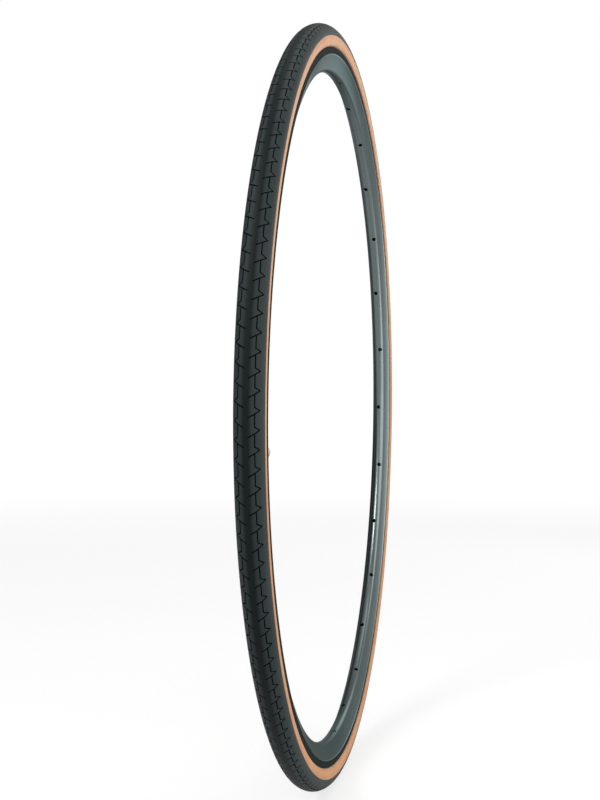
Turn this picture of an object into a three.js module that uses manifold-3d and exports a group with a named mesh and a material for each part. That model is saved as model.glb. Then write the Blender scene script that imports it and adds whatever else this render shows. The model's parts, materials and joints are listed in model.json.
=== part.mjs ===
// Bicycle tyre of size 23-622, mounted with its inner tube on a drilled rim for 28 spokes.
// Millimetres, +Z up. The origin is the centre of the wheel and the Y axis is the axle line.
// Left is +Y and right is -Y. Angles run from +X towards +Z.
//
// Every ring is one outline turned about the axle. An outline is a list of [radius, side] pairs:
// radius is the distance from the axle line, side is the distance from the middle plane.
import * as THREE from 'three';
import { mergeVertices } from 'three/addons/utils/BufferGeometryUtils.js';
import Module from 'manifold-3d';

const wasm = await Module();
wasm.setup();

// Counts and angles
const spokeHoleCount = 28;
const ringSegments = 2 * spokeHoleCount;
const segmentAngle = (2 * Math.PI) / ringSegments;
const degree = Math.PI / 180;

// Rim: a hollow aluminium section with hooked flanges, a flat side band and a rounded nose
const beadSeatRadius = 311;
const flangeWall = 1.5;
const hookReach = 0.4;
const hookLip = 1.1;
const hookSlope = 0.4;
const hookClearance = 0.25;
const sideBandHeight = 5.7;
const sideBandStep = 0.25;
const rimDepth = 20.7;
const noseRadius = 5;
const wellDepth = 2.6;
const wellMargin = 0.2;
const wellSlope = 0.7;
const sideWall = 1.1;
const bridgeWall = 1.2;
const spokeBedWall = 1.6;
const spokeHoleDiameter = 4.2;
const spokeHoleStagger = 1.24;
const accessHoleDiameter = 7.2;
const jointSleeveLength = 54;
const jointSleeveWall = 1.4;

// Tyre: widths and thicknesses of its layers
const tyreWidth = 21.4;
const treadThickness = 2.1;
const breakerThickness = 0.5;
const plyThickness = 0.45;
const sidewallThickness = 1.15;
const chaferThickness = 0.35;
const beadWireDiameter = 1.4;
const turnUpHeight = 1.3;
const shoulderRise = 1.8;
const lipClearance = 0.2;
const casingLipInset = 1.15;

// Inner tube and rim tape
const tubeWall = 0.9;
const tubeFootHeight = 0.9;
const neckMargin = 0.15;
const tapeThickness = 0.6;

// Valve, from the pin in its middle outwards
const pinDiameter = 1.1;
const pinClearance = 0.45;
const pinHeadLip = 0.4;
const pinHeadThickness = 0.5;
const pinFootLip = 0.2;
const pinFootThickness = 0.6;
const sealThickness = 1.2;
const coreWall = 0.65;
const coreLength = 15;
const coreHeadDiameter = 4.2;
const coreHeadThickness = 1.8;
const tipNutInset = 0.15;
const tipNutHeight = 1.9;
const tipNutTravel = 2.2;
const stemWall = 1.05;
const stemProtrusion = 11.5;
const stemFootDiameter = 9;
const stemFootThickness = 0.8;
const patchThickness = 0.5;
const patchLength = 18;
const patchMargin = 0.7;
const rimNutWall = 2.2;
const rimNutThickness = 3.2;
const rimNutBevel = 0.6;
const capWall = 0.55;
const capSkirtWall = 0.5;
const capOverlap = 4;
const capShoulder = 2.4;

// Clearances
const layerGap = 0.15;
const fitGap = 0.3;
const overrun = 2;

// Each of the valve's pieces has room for the one inside it, and stemPassage is the hole for the stem
const coreBore = pinDiameter + 2 * pinClearance;
const coreDiameter = coreBore + 2 * coreWall;
const stemBore = coreDiameter + 2 * fitGap;
const stemDiameter = stemBore + 2 * stemWall;
const stemPassage = stemDiameter + 2 * fitGap;
const patchWidth = stemPassage + 2 * patchMargin;

// A bead is a wire, a ply and a chafer, each with its gap. It sits beside the tube's neck.
const tubeNeck = stemPassage / 2 + tubeWall + neckMargin;
const wireRadius = beadWireDiameter / 2;
const pocketHalf = wireRadius + layerGap;
const wrapHalf = pocketHalf + plyThickness;
const chaferHalf = wrapHalf + layerGap + chaferThickness;
const wireCentre = [beadSeatRadius + layerGap + chaferHalf, tubeNeck + layerGap + wrapHalf];
const turnUpTop = wireCentre[0] + turnUpHeight;

// The rim is as wide as what it holds side by side, and its flanges are as high as the beads
const channelHalfWidth = wireCentre[1] + chaferHalf + layerGap;
const hookHalfWidth = channelHalfWidth - hookReach;
const rimHalfWidth = channelHalfWidth + flangeWall;
const hookFoot = turnUpTop + hookClearance + hookSlope;
const flangeTop = hookFoot + hookLip;
const spokeBedRadius = flangeTop - rimDepth;
const wellRadius = beadSeatRadius - wellDepth;
const wellHalfWidth = patchWidth / 2 + wellMargin;

// A flat of a ring lies closer to the axle than the ring's corners do
const flatShare = Math.cos(segmentAngle / 2);

// The valve stands half way between two spoke holes, and the rim's joint is opposite to it
const valveAngle = Math.PI + segmentAngle;
const jointAngle = segmentAngle;

const finishes = {
  tread: { color: 0x33393c, roughness: 0.62, metalness: 0 },
  skin: { color: 0xd9a882, roughness: 0.7, metalness: 0 },
  cloth: { color: 0xb9a98c, roughness: 0.9, metalness: 0 },
  aramid: { color: 0xc9a24a, roughness: 0.8, metalness: 0 },
  chafer: { color: 0x2b2a29, roughness: 0.85, metalness: 0 },
  steel: { color: 0xa9adb0, roughness: 0.4, metalness: 1 },
  butyl: { color: 0x1d1d1f, roughness: 0.6, metalness: 0 },
  tape: { color: 0xe4dcc4, roughness: 0.9, metalness: 0 },
  anodised: { color: 0x66706f, roughness: 0.38, metalness: 1 },
  aluminium: { color: 0xb4b8ba, roughness: 0.45, metalness: 1 },
  brass: { color: 0xb9a36a, roughness: 0.35, metalness: 1 },
  nickel: { color: 0xb9bab6, roughness: 0.3, metalness: 1 },
  plastic: { color: 0xe4e4df, roughness: 0.5, metalness: 0 },
};

// An outline about the middle plane, from its half with side >= 0
function bothSides(half) {
  const other = half.filter(([, side]) => side > 0).reverse();
  return [...half, ...other.map(([radius, side]) => [radius, -side])];
}

// The same outline on the other side of the middle plane
function onSide(outline, sign) {
  return outline.map(([radius, side]) => [radius, sign * side]);
}

// A ring about the axle. The middles of its flats lie at whole multiples of segmentAngle.
function ringGeometry(outline) {
  const points = outline.map(([radius, side]) => new THREE.Vector2(radius, side));
  if (THREE.ShapeUtils.area(points) < 0) points.reverse();
  points.push(points[0].clone());
  return new THREE.LatheGeometry(points, ringSegments, segmentAngle / 2);
}

// A turned piece on its own Y axis, from [radius, height] pairs that start and end on the axis
// or close on themselves
function turnedGeometry(outline, sides) {
  const points = outline.map(([radius, height]) => new THREE.Vector2(radius, height));
  if (THREE.ShapeUtils.area(points) < 0) points.reverse();
  const onAxis = points[0].x === 0 && points[points.length - 1].x === 0;
  if (!onAxis) points.push(points[0].clone());
  return new THREE.LatheGeometry(points, sides, Math.PI / sides);
}

function toSolid(geometry) {
  const bare = geometry.clone();
  bare.deleteAttribute('normal');
  bare.deleteAttribute('uv');
  const merged = mergeVertices(bare);
  const vertProperties = new Float32Array(merged.attributes.position.array);
  const triVerts = new Uint32Array(merged.index.array);
  return new wasm.Manifold(new wasm.Mesh({ numProp: 3, vertProperties, triVerts }));
}

function toGeometry(solid) {
  const mesh = solid.getMesh();
  const geometry = new THREE.BufferGeometry();
  geometry.setAttribute('position', new THREE.BufferAttribute(mesh.vertProperties, 3));
  geometry.setIndex(new THREE.BufferAttribute(mesh.triVerts, 1));
  geometry.computeVertexNormals();
  return geometry;
}

function cutAway(geometry, cutters) {
  return toGeometry(cutters.reduce((solid, cutter) => solid.subtract(toSolid(cutter)), toSolid(geometry)));
}

// Turns Y to point away from the axle at the angle, X along the ring and Z along the axle
function radialTurn(angle) {
  const outward = new THREE.Vector3(Math.cos(angle), 0, Math.sin(angle));
  const axle = new THREE.Vector3(0, 1, 0);
  const along = new THREE.Vector3().crossVectors(outward, axle);
  return new THREE.Quaternion().setFromRotationMatrix(new THREE.Matrix4().makeBasis(along, outward, axle));
}

// A round cutter that points at the axle line, between two radii
function radialDrill(angle, side, diameter, from, to, sides) {
  const drill = new THREE.CylinderGeometry(diameter / 2, diameter / 2, to - from, sides);
  drill.translate(0, (from + to) / 2, 0);
  drill.applyQuaternion(radialTurn(angle));
  return drill.translate(0, side, 0);
}

function piece(name, geometry, finish) {
  const mesh = new THREE.Mesh(geometry, new THREE.MeshStandardMaterial(finish));
  mesh.name = name;
  return mesh;
}

// The rim's side wall runs from the foot of the side band and meets the round nose smoothly.
// noseAngle is measured at the nose's centre, from the direction of the axle to the meeting point.
const noseCentre = spokeBedRadius + noseRadius;
const bandFoot = [flangeTop - sideBandHeight, rimHalfWidth];
const wallTop = [bandFoot[0] - sideBandStep, rimHalfWidth - sideBandStep];
const wallReach = Math.hypot(wallTop[0] - noseCentre, wallTop[1]);
const wallAim = Math.atan2(wallTop[1], noseCentre - wallTop[0]);
const noseAngle = wallAim - Math.acos(noseRadius / wallReach);
const noseFlatShare = 0.22;
const noseMiddleShare = 0.62;

function onNose(radius, angle) {
  return [noseCentre - radius * Math.cos(angle), radius * Math.sin(angle)];
}

// The bottom flat of the nose is as low as the round would be
function noseOutline(radius) {
  const [, flatSide] = onNose(radius, noseFlatShare * noseAngle);
  const middle = onNose(radius, noseMiddleShare * noseAngle);
  return [[noseCentre - radius, flatSide], middle, onNose(radius, noseAngle)];
}

function rimOutline() {
  return bothSides([
    ...noseOutline(noseRadius),
    wallTop,
    bandFoot,
    [flangeTop, rimHalfWidth],
    [flangeTop, hookHalfWidth],
    [hookFoot, hookHalfWidth],
    [hookFoot - hookSlope, channelHalfWidth],
    [beadSeatRadius, channelHalfWidth],
    [beadSeatRadius, wellHalfWidth + wellSlope],
    [wellRadius, wellHalfWidth],
  ]);
}

const [noseEndLevel, noseEndSide] = onNose(noseRadius, noseAngle);
const wallLean = (wallTop[1] - noseEndSide) / (wallTop[0] - noseEndLevel);

// The side wall's inner face at a level, moved further in by the inset
function insideWall(level, inset) {
  const outside = wallTop[1] - wallLean * (wallTop[0] - level);
  return [level, outside - (sideWall + inset) * Math.hypot(1, wallLean)];
}

function insideNose(inset) {
  const radius = noseRadius - spokeBedWall - inset;
  const foot = onNose(radius, noseAngle);
  return [[noseCentre - radius, foot[1] / 2], foot];
}

// The hollow follows the nose and the side wall up to the bridge under the bead seats
function rimHollowOutline() {
  return bothSides([
    ...insideNose(0),
    insideWall(beadSeatRadius - bridgeWall, 0),
    [wellRadius - bridgeWall, wellHalfWidth],
  ]);
}

// The joint sleeve fills the hollow as high as the bridge's lowest face
function sleeveOutline(inset) {
  return bothSides([...insideNose(inset), insideWall(wellRadius - bridgeWall - inset, inset)]);
}

function rim() {
  const drills = [ringGeometry(rimHollowOutline())];
  const bedInside = spokeBedRadius + spokeBedWall + overrun;
  const bridgeInside = wellRadius - bridgeWall - overrun;
  for (let index = 0; index < spokeHoleCount; index += 1) {
    const angle = 2 * index * segmentAngle;
    const side = index % 2 === 0 ? spokeHoleStagger : -spokeHoleStagger;
    drills.push(radialDrill(angle, side, spokeHoleDiameter, spokeBedRadius - overrun, bedInside, 8));
    drills.push(radialDrill(angle, 0, accessHoleDiameter, bridgeInside, wellRadius + overrun, 6));
  }
  drills.push(radialDrill(valveAngle, 0, stemPassage, spokeBedRadius - overrun, wellRadius + overrun, 12));
  return piece('rim', cutAway(ringGeometry(rimOutline()), drills), finishes.anodised);
}

// A short channel inside the hollow that joins the two ends of the bent rim
function rimJointSleeve() {
  const body = toSolid(ringGeometry(sleeveOutline(fitGap)));
  const bore = toSolid(ringGeometry(sleeveOutline(fitGap + jointSleeveWall)));
  const reach = 2 * beadSeatRadius;
  const window = new THREE.BoxGeometry(reach, 2 * rimHalfWidth, jointSleeveLength);
  window.translate(reach / 2, 0, 0).rotateY(-jointAngle);
  const sleeve = body.subtract(bore).intersect(toSolid(window));
  return piece('rim_joint_sleeve', toGeometry(sleeve), finishes.aluminium);
}

// Between the beads the casing is a round arch. It enters between the flanges at their tops.
const lipHalfWidth = hookHalfWidth - lipClearance;
const casingRadius = tyreWidth / 2 - sidewallThickness - layerGap;
const casingLip = lipHalfWidth - casingLipInset;
const casingCentre = flangeTop + Math.sqrt(casingRadius ** 2 - casingLip ** 2);
const tyreRadius = casingCentre + casingRadius + 2 * layerGap + breakerThickness + treadThickness;
const archAngles = [0, 48 * degree, 96 * degree];
const [, shoulderAngle, archEnd] = archAngles;
const treadSeatAngle = 54 * degree;
const treadEndAngle = 80 * degree;

function onArch(radius, angle) {
  return [casingCentre + radius * Math.cos(angle), radius * Math.sin(angle)];
}

function arch(radius) {
  return archAngles.map((angle) => onArch(radius, angle));
}

// The outside of the tyre: one quarter ellipse above its widest line and one below it, which ends
// where the tyre dips between the flanges
const widestRadius = casingCentre + shoulderRise;
const crownRise = tyreRadius - widestRadius;
const tyreHalfWidth = tyreWidth / 2;
const lowerRise = (widestRadius - flangeTop) / Math.sqrt(1 - (lipHalfWidth / tyreHalfWidth) ** 2);
const treadEdge = 88 * degree;
const treadAngles = [0, 22 * degree, 44 * degree, 66 * degree, treadEdge];
const skinAngles = [90.5 * degree, 114 * degree];

function onOutside(angle) {
  const rise = angle < Math.PI / 2 ? crownRise : lowerRise;
  return [widestRadius + rise * Math.cos(angle), tyreHalfWidth * Math.sin(angle)];
}

// The tread's underside steps over the puncture breaker and ends near the widest line
function treadCap() {
  const overBreaker = casingRadius + 2 * layerGap + breakerThickness;
  const overCasing = casingRadius + layerGap;
  const half = [
    ...treadAngles.map(onOutside),
    onArch(overCasing, treadEndAngle),
    onArch(overCasing, treadSeatAngle),
    onArch(overBreaker, shoulderAngle),
    onArch(overBreaker, 0),
  ];
  return piece('tread_cap', ringGeometry(bothSides(half)), finishes.tread);
}

function punctureBreaker() {
  const inner = casingRadius + layerGap;
  const outer = inner + breakerThickness;
  const half = [
    onArch(outer, 0),
    onArch(outer, shoulderAngle),
    onArch(inner, shoulderAngle),
    onArch(inner, 0),
  ];
  return piece('puncture_breaker', ringGeometry(bothSides(half)), finishes.aramid);
}

// One layer of cloth from bead to bead. It passes inside each wire, under it and up its far side.
function casingPly() {
  const [wireLevel, wireSide] = wireCentre;
  const half = [
    ...arch(casingRadius),
    [wireLevel + pocketHalf, wireSide - pocketHalf],
    [wireLevel - pocketHalf, wireSide - pocketHalf],
    [wireLevel - pocketHalf, wireSide + pocketHalf],
    [turnUpTop, wireSide + pocketHalf],
    [turnUpTop, wireSide + wrapHalf],
    [wireLevel - wrapHalf, wireSide + wrapHalf],
    [wireLevel - wrapHalf, wireSide - wrapHalf],
    [wireLevel + wrapHalf, wireSide - wrapHalf],
    ...arch(casingRadius - plyThickness).reverse(),
  ];
  return piece('casing_ply', ringGeometry(bothSides(half)), finishes.cloth);
}

// The tan rubber skin between the tread's edge and the bead
function sidewall(name, sign) {
  const foot = turnUpTop + layerGap;
  const [archLevel, archSide] = onArch(casingRadius + layerGap, archEnd);
  const [plyLevel, plySide] = onArch(casingRadius, archEnd);
  const plyTop = [wireCentre[0] + pocketHalf, wireCentre[1] - pocketHalf];
  const plySlope = (plySide - plyTop[1]) / (plyLevel - plyTop[0]);
  const footSide = plyTop[1] + plySlope * (foot - plyTop[0]) + 2 * layerGap;
  const outline = [
    ...skinAngles.map(onOutside),
    [flangeTop, lipHalfWidth],
    [foot, lipHalfWidth],
    [foot, footSide],
    [archLevel, archSide],
  ];
  return piece(name, ringGeometry(onSide(outline, sign)), finishes.skin);
}

function beadWire(name, sign) {
  const outline = Array.from({ length: 6 }, (_, corner) => {
    const angle = (corner * Math.PI) / 3;
    return [wireCentre[0] + wireRadius * Math.cos(angle), wireCentre[1] + wireRadius * Math.sin(angle)];
  });
  return piece(name, ringGeometry(onSide(outline, sign)), finishes.steel);
}

// A strip under and beside the bead that keeps the rim from rubbing the cloth
function chafer(name, sign) {
  const [wireLevel, wireSide] = wireCentre;
  const inner = wrapHalf + layerGap;
  const outline = [
    [turnUpTop, wireSide + chaferHalf],
    [wireLevel - chaferHalf, wireSide + chaferHalf],
    [wireLevel - chaferHalf, wireSide - wrapHalf],
    [wireLevel - inner, wireSide - wrapHalf],
    [wireLevel - inner, wireSide + inner],
    [turnUpTop, wireSide + inner],
  ];
  return piece(name, ringGeometry(onSide(outline, sign)), finishes.chafer);
}

// The rim tape lies in the well and covers the access holes
const tapeTop = wellRadius + layerGap + tapeThickness;
const tubeFoot = tapeTop + tubeFootHeight;

function rimTape() {
  const side = wellHalfWidth - layerGap;
  const half = [[wellRadius + layerGap, side], [tapeTop, side]];
  const hole = radialDrill(valveAngle, 0, stemPassage, wellRadius - overrun, tapeTop + overrun, 12);
  return piece('rim_tape', cutAway(ringGeometry(bothSides(half)), [hole]), finishes.tape);
}

// The inflated tube fills the casing and reaches down between the beads
function tubeOutline(inset) {
  return bothSides([
    ...arch(casingRadius - plyThickness - layerGap - inset),
    [wireCentre[0] + wrapHalf, tubeNeck - inset],
    [tubeFoot + inset, tubeNeck - inset],
  ]);
}

function innerTube() {
  const hole = radialDrill(valveAngle, 0, stemPassage, wellRadius, tubeFoot + tubeWall + overrun, 12);
  const air = ringGeometry(tubeOutline(tubeWall));
  return piece('inner_tube', cutAway(ringGeometry(tubeOutline(0)), [air, hole]), finishes.butyl);
}

// Levels along the valve, measured from the axle line. The rim's flats are nearer than its corners.
const bedFlat = spokeBedRadius * flatShare;
const patchFoot = tapeTop * flatShare + layerGap;
const stemFoot = (tubeFoot + tubeWall) * flatShare + layerGap;
const stemTip = bedFlat - stemProtrusion;
const coreTip = stemTip - fitGap - coreHeadThickness;
const coreFoot = stemTip + coreLength;
const tipNutFoot = coreTip - fitGap;
const tipNutTip = tipNutFoot - tipNutHeight;
const pinTip = tipNutTip - tipNutTravel - pinHeadThickness - fitGap;
const sealFoot = coreFoot + fitGap;
const pinFoot = sealFoot + sealThickness + fitGap;

// The rubber patch that ties the valve to the tube is an oval washer
function valveBasePatch() {
  const oval = new THREE.Shape().absellipse(0, 0, patchLength / 2, patchWidth / 2, 0, 2 * Math.PI);
  const hole = new THREE.Path().absarc(0, 0, stemPassage / 2, 0, 2 * Math.PI, true);
  oval.holes.push(hole);
  const options = { depth: patchThickness, bevelEnabled: false, curveSegments: 12 };
  const patch = new THREE.ExtrudeGeometry(oval, options);
  patch.rotateX(-Math.PI / 2).translate(0, patchFoot, 0);
  return piece('valve_base_patch', patch, finishes.butyl);
}

// The stem's foot lies on the tube's wall inside the tube and has two flats to pass its neck
function valveStem() {
  const outline = [
    [stemBore / 2, stemTip],
    [stemDiameter / 2, stemTip],
    [stemDiameter / 2, stemFoot],
    [stemFootDiameter / 2, stemFoot],
    [stemFootDiameter / 2, stemFoot + stemFootThickness],
    [stemBore / 2, stemFoot + stemFootThickness],
  ];
  const footWidth = 2 * (tubeNeck - tubeWall - fitGap);
  const flats = new THREE.BoxGeometry(stemFootDiameter, beadSeatRadius, footWidth);
  flats.translate(0, beadSeatRadius, 0);
  const stem = toSolid(turnedGeometry(outline, 16)).intersect(toSolid(flats));
  return piece('valve_stem', toGeometry(stem), finishes.nickel);
}

// The core screws into the stem, and its head with two flats stays outside
function valveCoreBody() {
  const outline = [
    [coreBore / 2, coreTip],
    [coreHeadDiameter / 2, coreTip],
    [coreHeadDiameter / 2, coreTip + coreHeadThickness],
    [coreDiameter / 2, coreTip + coreHeadThickness],
    [coreDiameter / 2, coreFoot],
    [coreBore / 2, coreFoot],
  ];
  return piece('valve_core_body', turnedGeometry(outline, 12), finishes.brass);
}

// The pin runs through the core. Its foot holds the seal and its spread tip stops the nut.
function valveCorePin() {
  const headRadius = pinDiameter / 2 + pinHeadLip;
  const footRadius = coreBore / 2 + pinFootLip;
  const outline = [
    [0, pinTip],
    [headRadius, pinTip],
    [headRadius, pinTip + pinHeadThickness],
    [pinDiameter / 2, pinTip + pinHeadThickness],
    [pinDiameter / 2, pinFoot],
    [footRadius, pinFoot],
    [footRadius, pinFoot + pinFootThickness],
    [0, pinFoot + pinFootThickness],
  ];
  return piece('valve_core_pin', turnedGeometry(outline, 10), finishes.brass);
}

function washerOutline(bore, diameter, from, to) {
  return [[bore / 2, from], [diameter / 2, from], [diameter / 2, to], [bore / 2, to]];
}

function valveCoreSeal() {
  const bore = pinDiameter + 2 * layerGap;
  const diameter = coreDiameter - 2 * layerGap;
  const outline = washerOutline(bore, diameter, sealFoot, sealFoot + sealThickness);
  return piece('valve_core_seal', turnedGeometry(outline, 10), finishes.butyl);
}

function valveTipNut() {
  const diameter = coreHeadDiameter - 2 * tipNutInset;
  const outline = washerOutline(pinDiameter + layerGap, diameter, tipNutTip, tipNutFoot);
  return piece('valve_tip_nut', turnedGeometry(outline, 10), finishes.brass);
}

// The knurled ring that draws the stem square to the rim
function valveRimNut() {
  const seat = bedFlat - fitGap;
  const bore = stemPassage / 2;
  const radius = bore + rimNutWall;
  const outline = [
    [bore, seat - rimNutThickness],
    [radius - rimNutBevel, seat - rimNutThickness],
    [radius, seat - rimNutThickness + rimNutBevel],
    [radius, seat - rimNutBevel],
    [radius - rimNutBevel, seat],
    [bore, seat],
  ];
  return piece('valve_rim_nut', turnedGeometry(outline, 20), finishes.nickel);
}

// The cap is open at its foot, grips the stem's end and tapers over the core
function valveDustCap() {
  const foot = stemTip + capOverlap;
  const roof = pinTip - fitGap;
  const wideBore = stemPassage / 2;
  const tipBore = coreHeadDiameter / 2 + layerGap;
  const step = stemTip - fitGap;
  const outline = [
    [0, roof - capWall],
    [tipBore, roof - capWall],
    [tipBore + capWall, roof],
    [wideBore + capSkirtWall, stemTip - capShoulder],
    [wideBore + capSkirtWall, foot],
    [wideBore, foot],
    [wideBore, step],
    [tipBore, step],
    [tipBore, roof],
    [0, roof],
  ];
  return piece('valve_dust_cap', turnedGeometry(outline, 16), finishes.plastic);
}

// The valve's pieces share one group whose Y axis points away from the axle at the valve's angle
const valve = new THREE.Group();
valve.name = 'valve';
valve.quaternion.copy(radialTurn(valveAngle));
valve.add(
  valveBasePatch(),
  valveStem(),
  valveCoreBody(),
  valveCorePin(),
  valveCoreSeal(),
  valveTipNut(),
  valveRimNut(),
  valveDustCap(),
);

const tyre = new THREE.Group();
tyre.name = 'tyre';
tyre.add(
  treadCap(),
  punctureBreaker(),
  casingPly(),
  sidewall('sidewall_left', 1),
  sidewall('sidewall_right', -1),
  beadWire('bead_wire_left', 1),
  beadWire('bead_wire_right', -1),
  chafer('chafer_left', 1),
  chafer('chafer_right', -1),
);

const wheel = new THREE.Group();
wheel.name = 'mounted_tyre';
wheel.add(tyre, innerTube(), valve, rim(), rimTape(), rimJointSleeve());

export default wheel;
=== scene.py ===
# %% [markdown]
# # A narrow road tyre on a drilled rim
#
# The real object is a 23 mm tyre with a grooved dark tread and tan sidewalls, pressed onto a hollow
# aluminium rim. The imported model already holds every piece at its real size, but its rings are made
# of 56 flats. This lesson gives each piece its fine surface and its finish, one piece at a time.

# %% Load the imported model
import json
import math

import bmesh
import bpy
from mathutils import Matrix, Vector

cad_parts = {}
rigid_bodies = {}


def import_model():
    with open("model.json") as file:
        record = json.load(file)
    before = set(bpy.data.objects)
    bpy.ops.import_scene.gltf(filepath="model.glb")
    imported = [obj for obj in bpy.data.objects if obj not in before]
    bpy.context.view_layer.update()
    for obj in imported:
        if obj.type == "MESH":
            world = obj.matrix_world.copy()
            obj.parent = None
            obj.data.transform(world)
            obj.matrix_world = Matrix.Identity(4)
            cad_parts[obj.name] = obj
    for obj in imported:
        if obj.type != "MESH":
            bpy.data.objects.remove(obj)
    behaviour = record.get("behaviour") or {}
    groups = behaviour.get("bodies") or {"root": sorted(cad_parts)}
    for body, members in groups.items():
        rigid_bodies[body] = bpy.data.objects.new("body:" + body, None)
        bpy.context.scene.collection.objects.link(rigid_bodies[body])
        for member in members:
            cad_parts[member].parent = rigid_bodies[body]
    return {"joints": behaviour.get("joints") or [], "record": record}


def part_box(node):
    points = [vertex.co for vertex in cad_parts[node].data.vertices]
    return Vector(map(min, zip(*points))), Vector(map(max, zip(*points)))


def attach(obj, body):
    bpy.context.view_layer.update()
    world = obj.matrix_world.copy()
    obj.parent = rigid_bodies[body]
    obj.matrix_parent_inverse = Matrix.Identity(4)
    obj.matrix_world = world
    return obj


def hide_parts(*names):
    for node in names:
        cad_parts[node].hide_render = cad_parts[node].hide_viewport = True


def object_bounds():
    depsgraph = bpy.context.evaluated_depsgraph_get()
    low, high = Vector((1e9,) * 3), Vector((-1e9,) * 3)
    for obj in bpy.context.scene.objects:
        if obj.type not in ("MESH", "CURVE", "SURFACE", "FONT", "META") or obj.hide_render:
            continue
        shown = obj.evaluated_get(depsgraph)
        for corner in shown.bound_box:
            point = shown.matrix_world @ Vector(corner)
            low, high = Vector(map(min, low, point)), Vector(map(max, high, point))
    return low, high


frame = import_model()
cad_low, cad_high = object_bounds()
print("The packed model measures", [round(side, 4) for side in cad_high - cad_low], "m")

# %% [markdown]
# ## The camera
#
# It stands level with the axle, a little over a metre away and almost in line with the tyre, so the
# near side of the tread fills the left of the picture and the far side of the rim the right of it.
# The camera comes first, because every later choice is judged through it.

# %% Camera
MM = 0.001
CAMERA_DISTANCE = 1113.42 * MM
CAMERA_HEIGHT = 1.18 * MM
CAMERA_SWING = math.radians(9.907)
CAMERA_YAW = math.radians(1.658)
CAMERA_PITCH = math.radians(0.249)
CAMERA_ROLL = math.radians(0.477)
LENS_MM = 36.55
SENSOR_HEIGHT_MM = 24


def add_camera():
    """Looks along +X from a little to the -Y side, with the small tilts of a tripod set by hand."""
    data = bpy.data.cameras.new("camera")
    data.sensor_fit = "VERTICAL"
    data.sensor_height = SENSOR_HEIGHT_MM
    data.lens = LENS_MM
    camera = bpy.data.objects.new("camera", data)
    bpy.context.collection.objects.link(camera)
    away = Vector((-math.cos(CAMERA_SWING), -math.sin(CAMERA_SWING), 0))
    heading = CAMERA_SWING + CAMERA_YAW
    level = Vector((math.cos(heading), math.sin(heading), 0))
    look = level * math.cos(CAMERA_PITCH) + Vector((0, 0, math.sin(CAMERA_PITCH)))
    right = look.cross(Vector((0, 0, 1))).normalized()
    up = right.cross(look)
    tilted_right = right * math.cos(CAMERA_ROLL) + up * math.sin(CAMERA_ROLL)
    tilted_up = up * math.cos(CAMERA_ROLL) - right * math.sin(CAMERA_ROLL)
    camera.matrix_world = Matrix((tilted_right, tilted_up, -look)).transposed().to_4x4()
    camera.location = away * CAMERA_DISTANCE + Vector((0, 0, CAMERA_HEIGHT))
    bpy.context.scene.camera = camera
    return camera


camera = add_camera()
print("The camera stands at", [round(side, 3) for side in camera.location], "m")

# %% [markdown]
# ## Sizes read from the model
#
# A ring of 56 flats reaches its full radius only at its corners, so a size along X is a flat's and
# is divided by the flat's share. The valve's own direction is the way its cap slides off, turned
# round. Everything else that the pieces share is worked out from these few sizes.

# %% Sizes read from the model
CAD_FLATS = 56
FLAT_SHARE = math.cos(math.pi / CAD_FLATS)
tread_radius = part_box("tread_cap")[1].x / FLAT_SHARE
half_width = cad_high.y
flange_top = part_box("rim")[1].x / FLAT_SHARE
rim_half_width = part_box("rim")[1].y
mounts = {mount["name"]: mount for mount in frame["record"]["mounts"]}
bed_flat = Vector(mounts["spoke_bed"]["pos_m"]).length
bed_radius = bed_flat / FLAT_SHARE
joints = {joint["name"]: joint for joint in frame["joints"]}
valve_out = -Vector(joints["dust_cap_pull"]["axis"]).normalized()
print(f"Tread radius {tread_radius:.4f}, flange top {flange_top:.4f}, spoke bed {bed_radius:.4f} m")

# %% [markdown]
# ## Working by hand in edit mode
#
# Every ring here is one outline turned about the axle. An outline could be a curve with a bevel, but
# a curve's section can't be a hooked channel. So the outline is drawn as loose edges, one vertex
# extruded from corner to corner, and the Spin tool then turns it. These helpers hold those moves.

# %% Helpers for edit mode
WELD = 0.001 * MM
PEN = 0.1 * MM
AXLE = (0, 1, 0)
CENTRE = (0, 0, 0)
CREASE = math.radians(32)


def to_object_mode():
    """Leaves edit mode, if it is on, with nothing selected."""
    if bpy.context.mode != "OBJECT":
        bpy.ops.object.mode_set(mode="OBJECT")
    bpy.ops.object.select_all(action="DESELECT")


def choose(piece):
    """Selects one piece and nothing else."""
    to_object_mode()
    piece.select_set(True)
    bpy.context.view_layer.objects.active = piece


def open_piece(piece):
    choose(piece)
    bpy.ops.object.mode_set(mode="EDIT")


def freeze():
    """Makes the place, turn and scale of the selected piece part of its mesh."""
    bpy.ops.object.transform_apply(location=True, rotation=True, scale=True)


def close_piece(crease=CREASE):
    """Leaves edit mode, makes the piece's place part of its mesh and smooths all but its creases."""
    bpy.ops.object.mode_set(mode="OBJECT")
    freeze()
    bpy.ops.object.shade_smooth_by_angle(angle=crease)
    return bpy.context.object


def middle_of(item):
    """The middle of a vertex, an edge or a face."""
    if hasattr(item, "co"):
        return item.co
    return sum((vertex.co for vertex in item.verts), Vector()) / len(item.verts)


def pick(kind, test):
    """Selects the open piece's vertices, edges or faces whose middle passes the test."""
    bpy.ops.mesh.select_mode(type=kind)
    bpy.ops.mesh.select_all(action="DESELECT")
    mesh = bmesh.from_edit_mesh(bpy.context.object.data)
    items = {"VERT": mesh.verts, "EDGE": mesh.edges, "FACE": mesh.faces}[kind]
    for item in items:
        if test(middle_of(item)):
            item.select_set(True)
    mesh.select_flush_mode()
    bmesh.update_edit_mesh(bpy.context.object.data)


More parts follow.
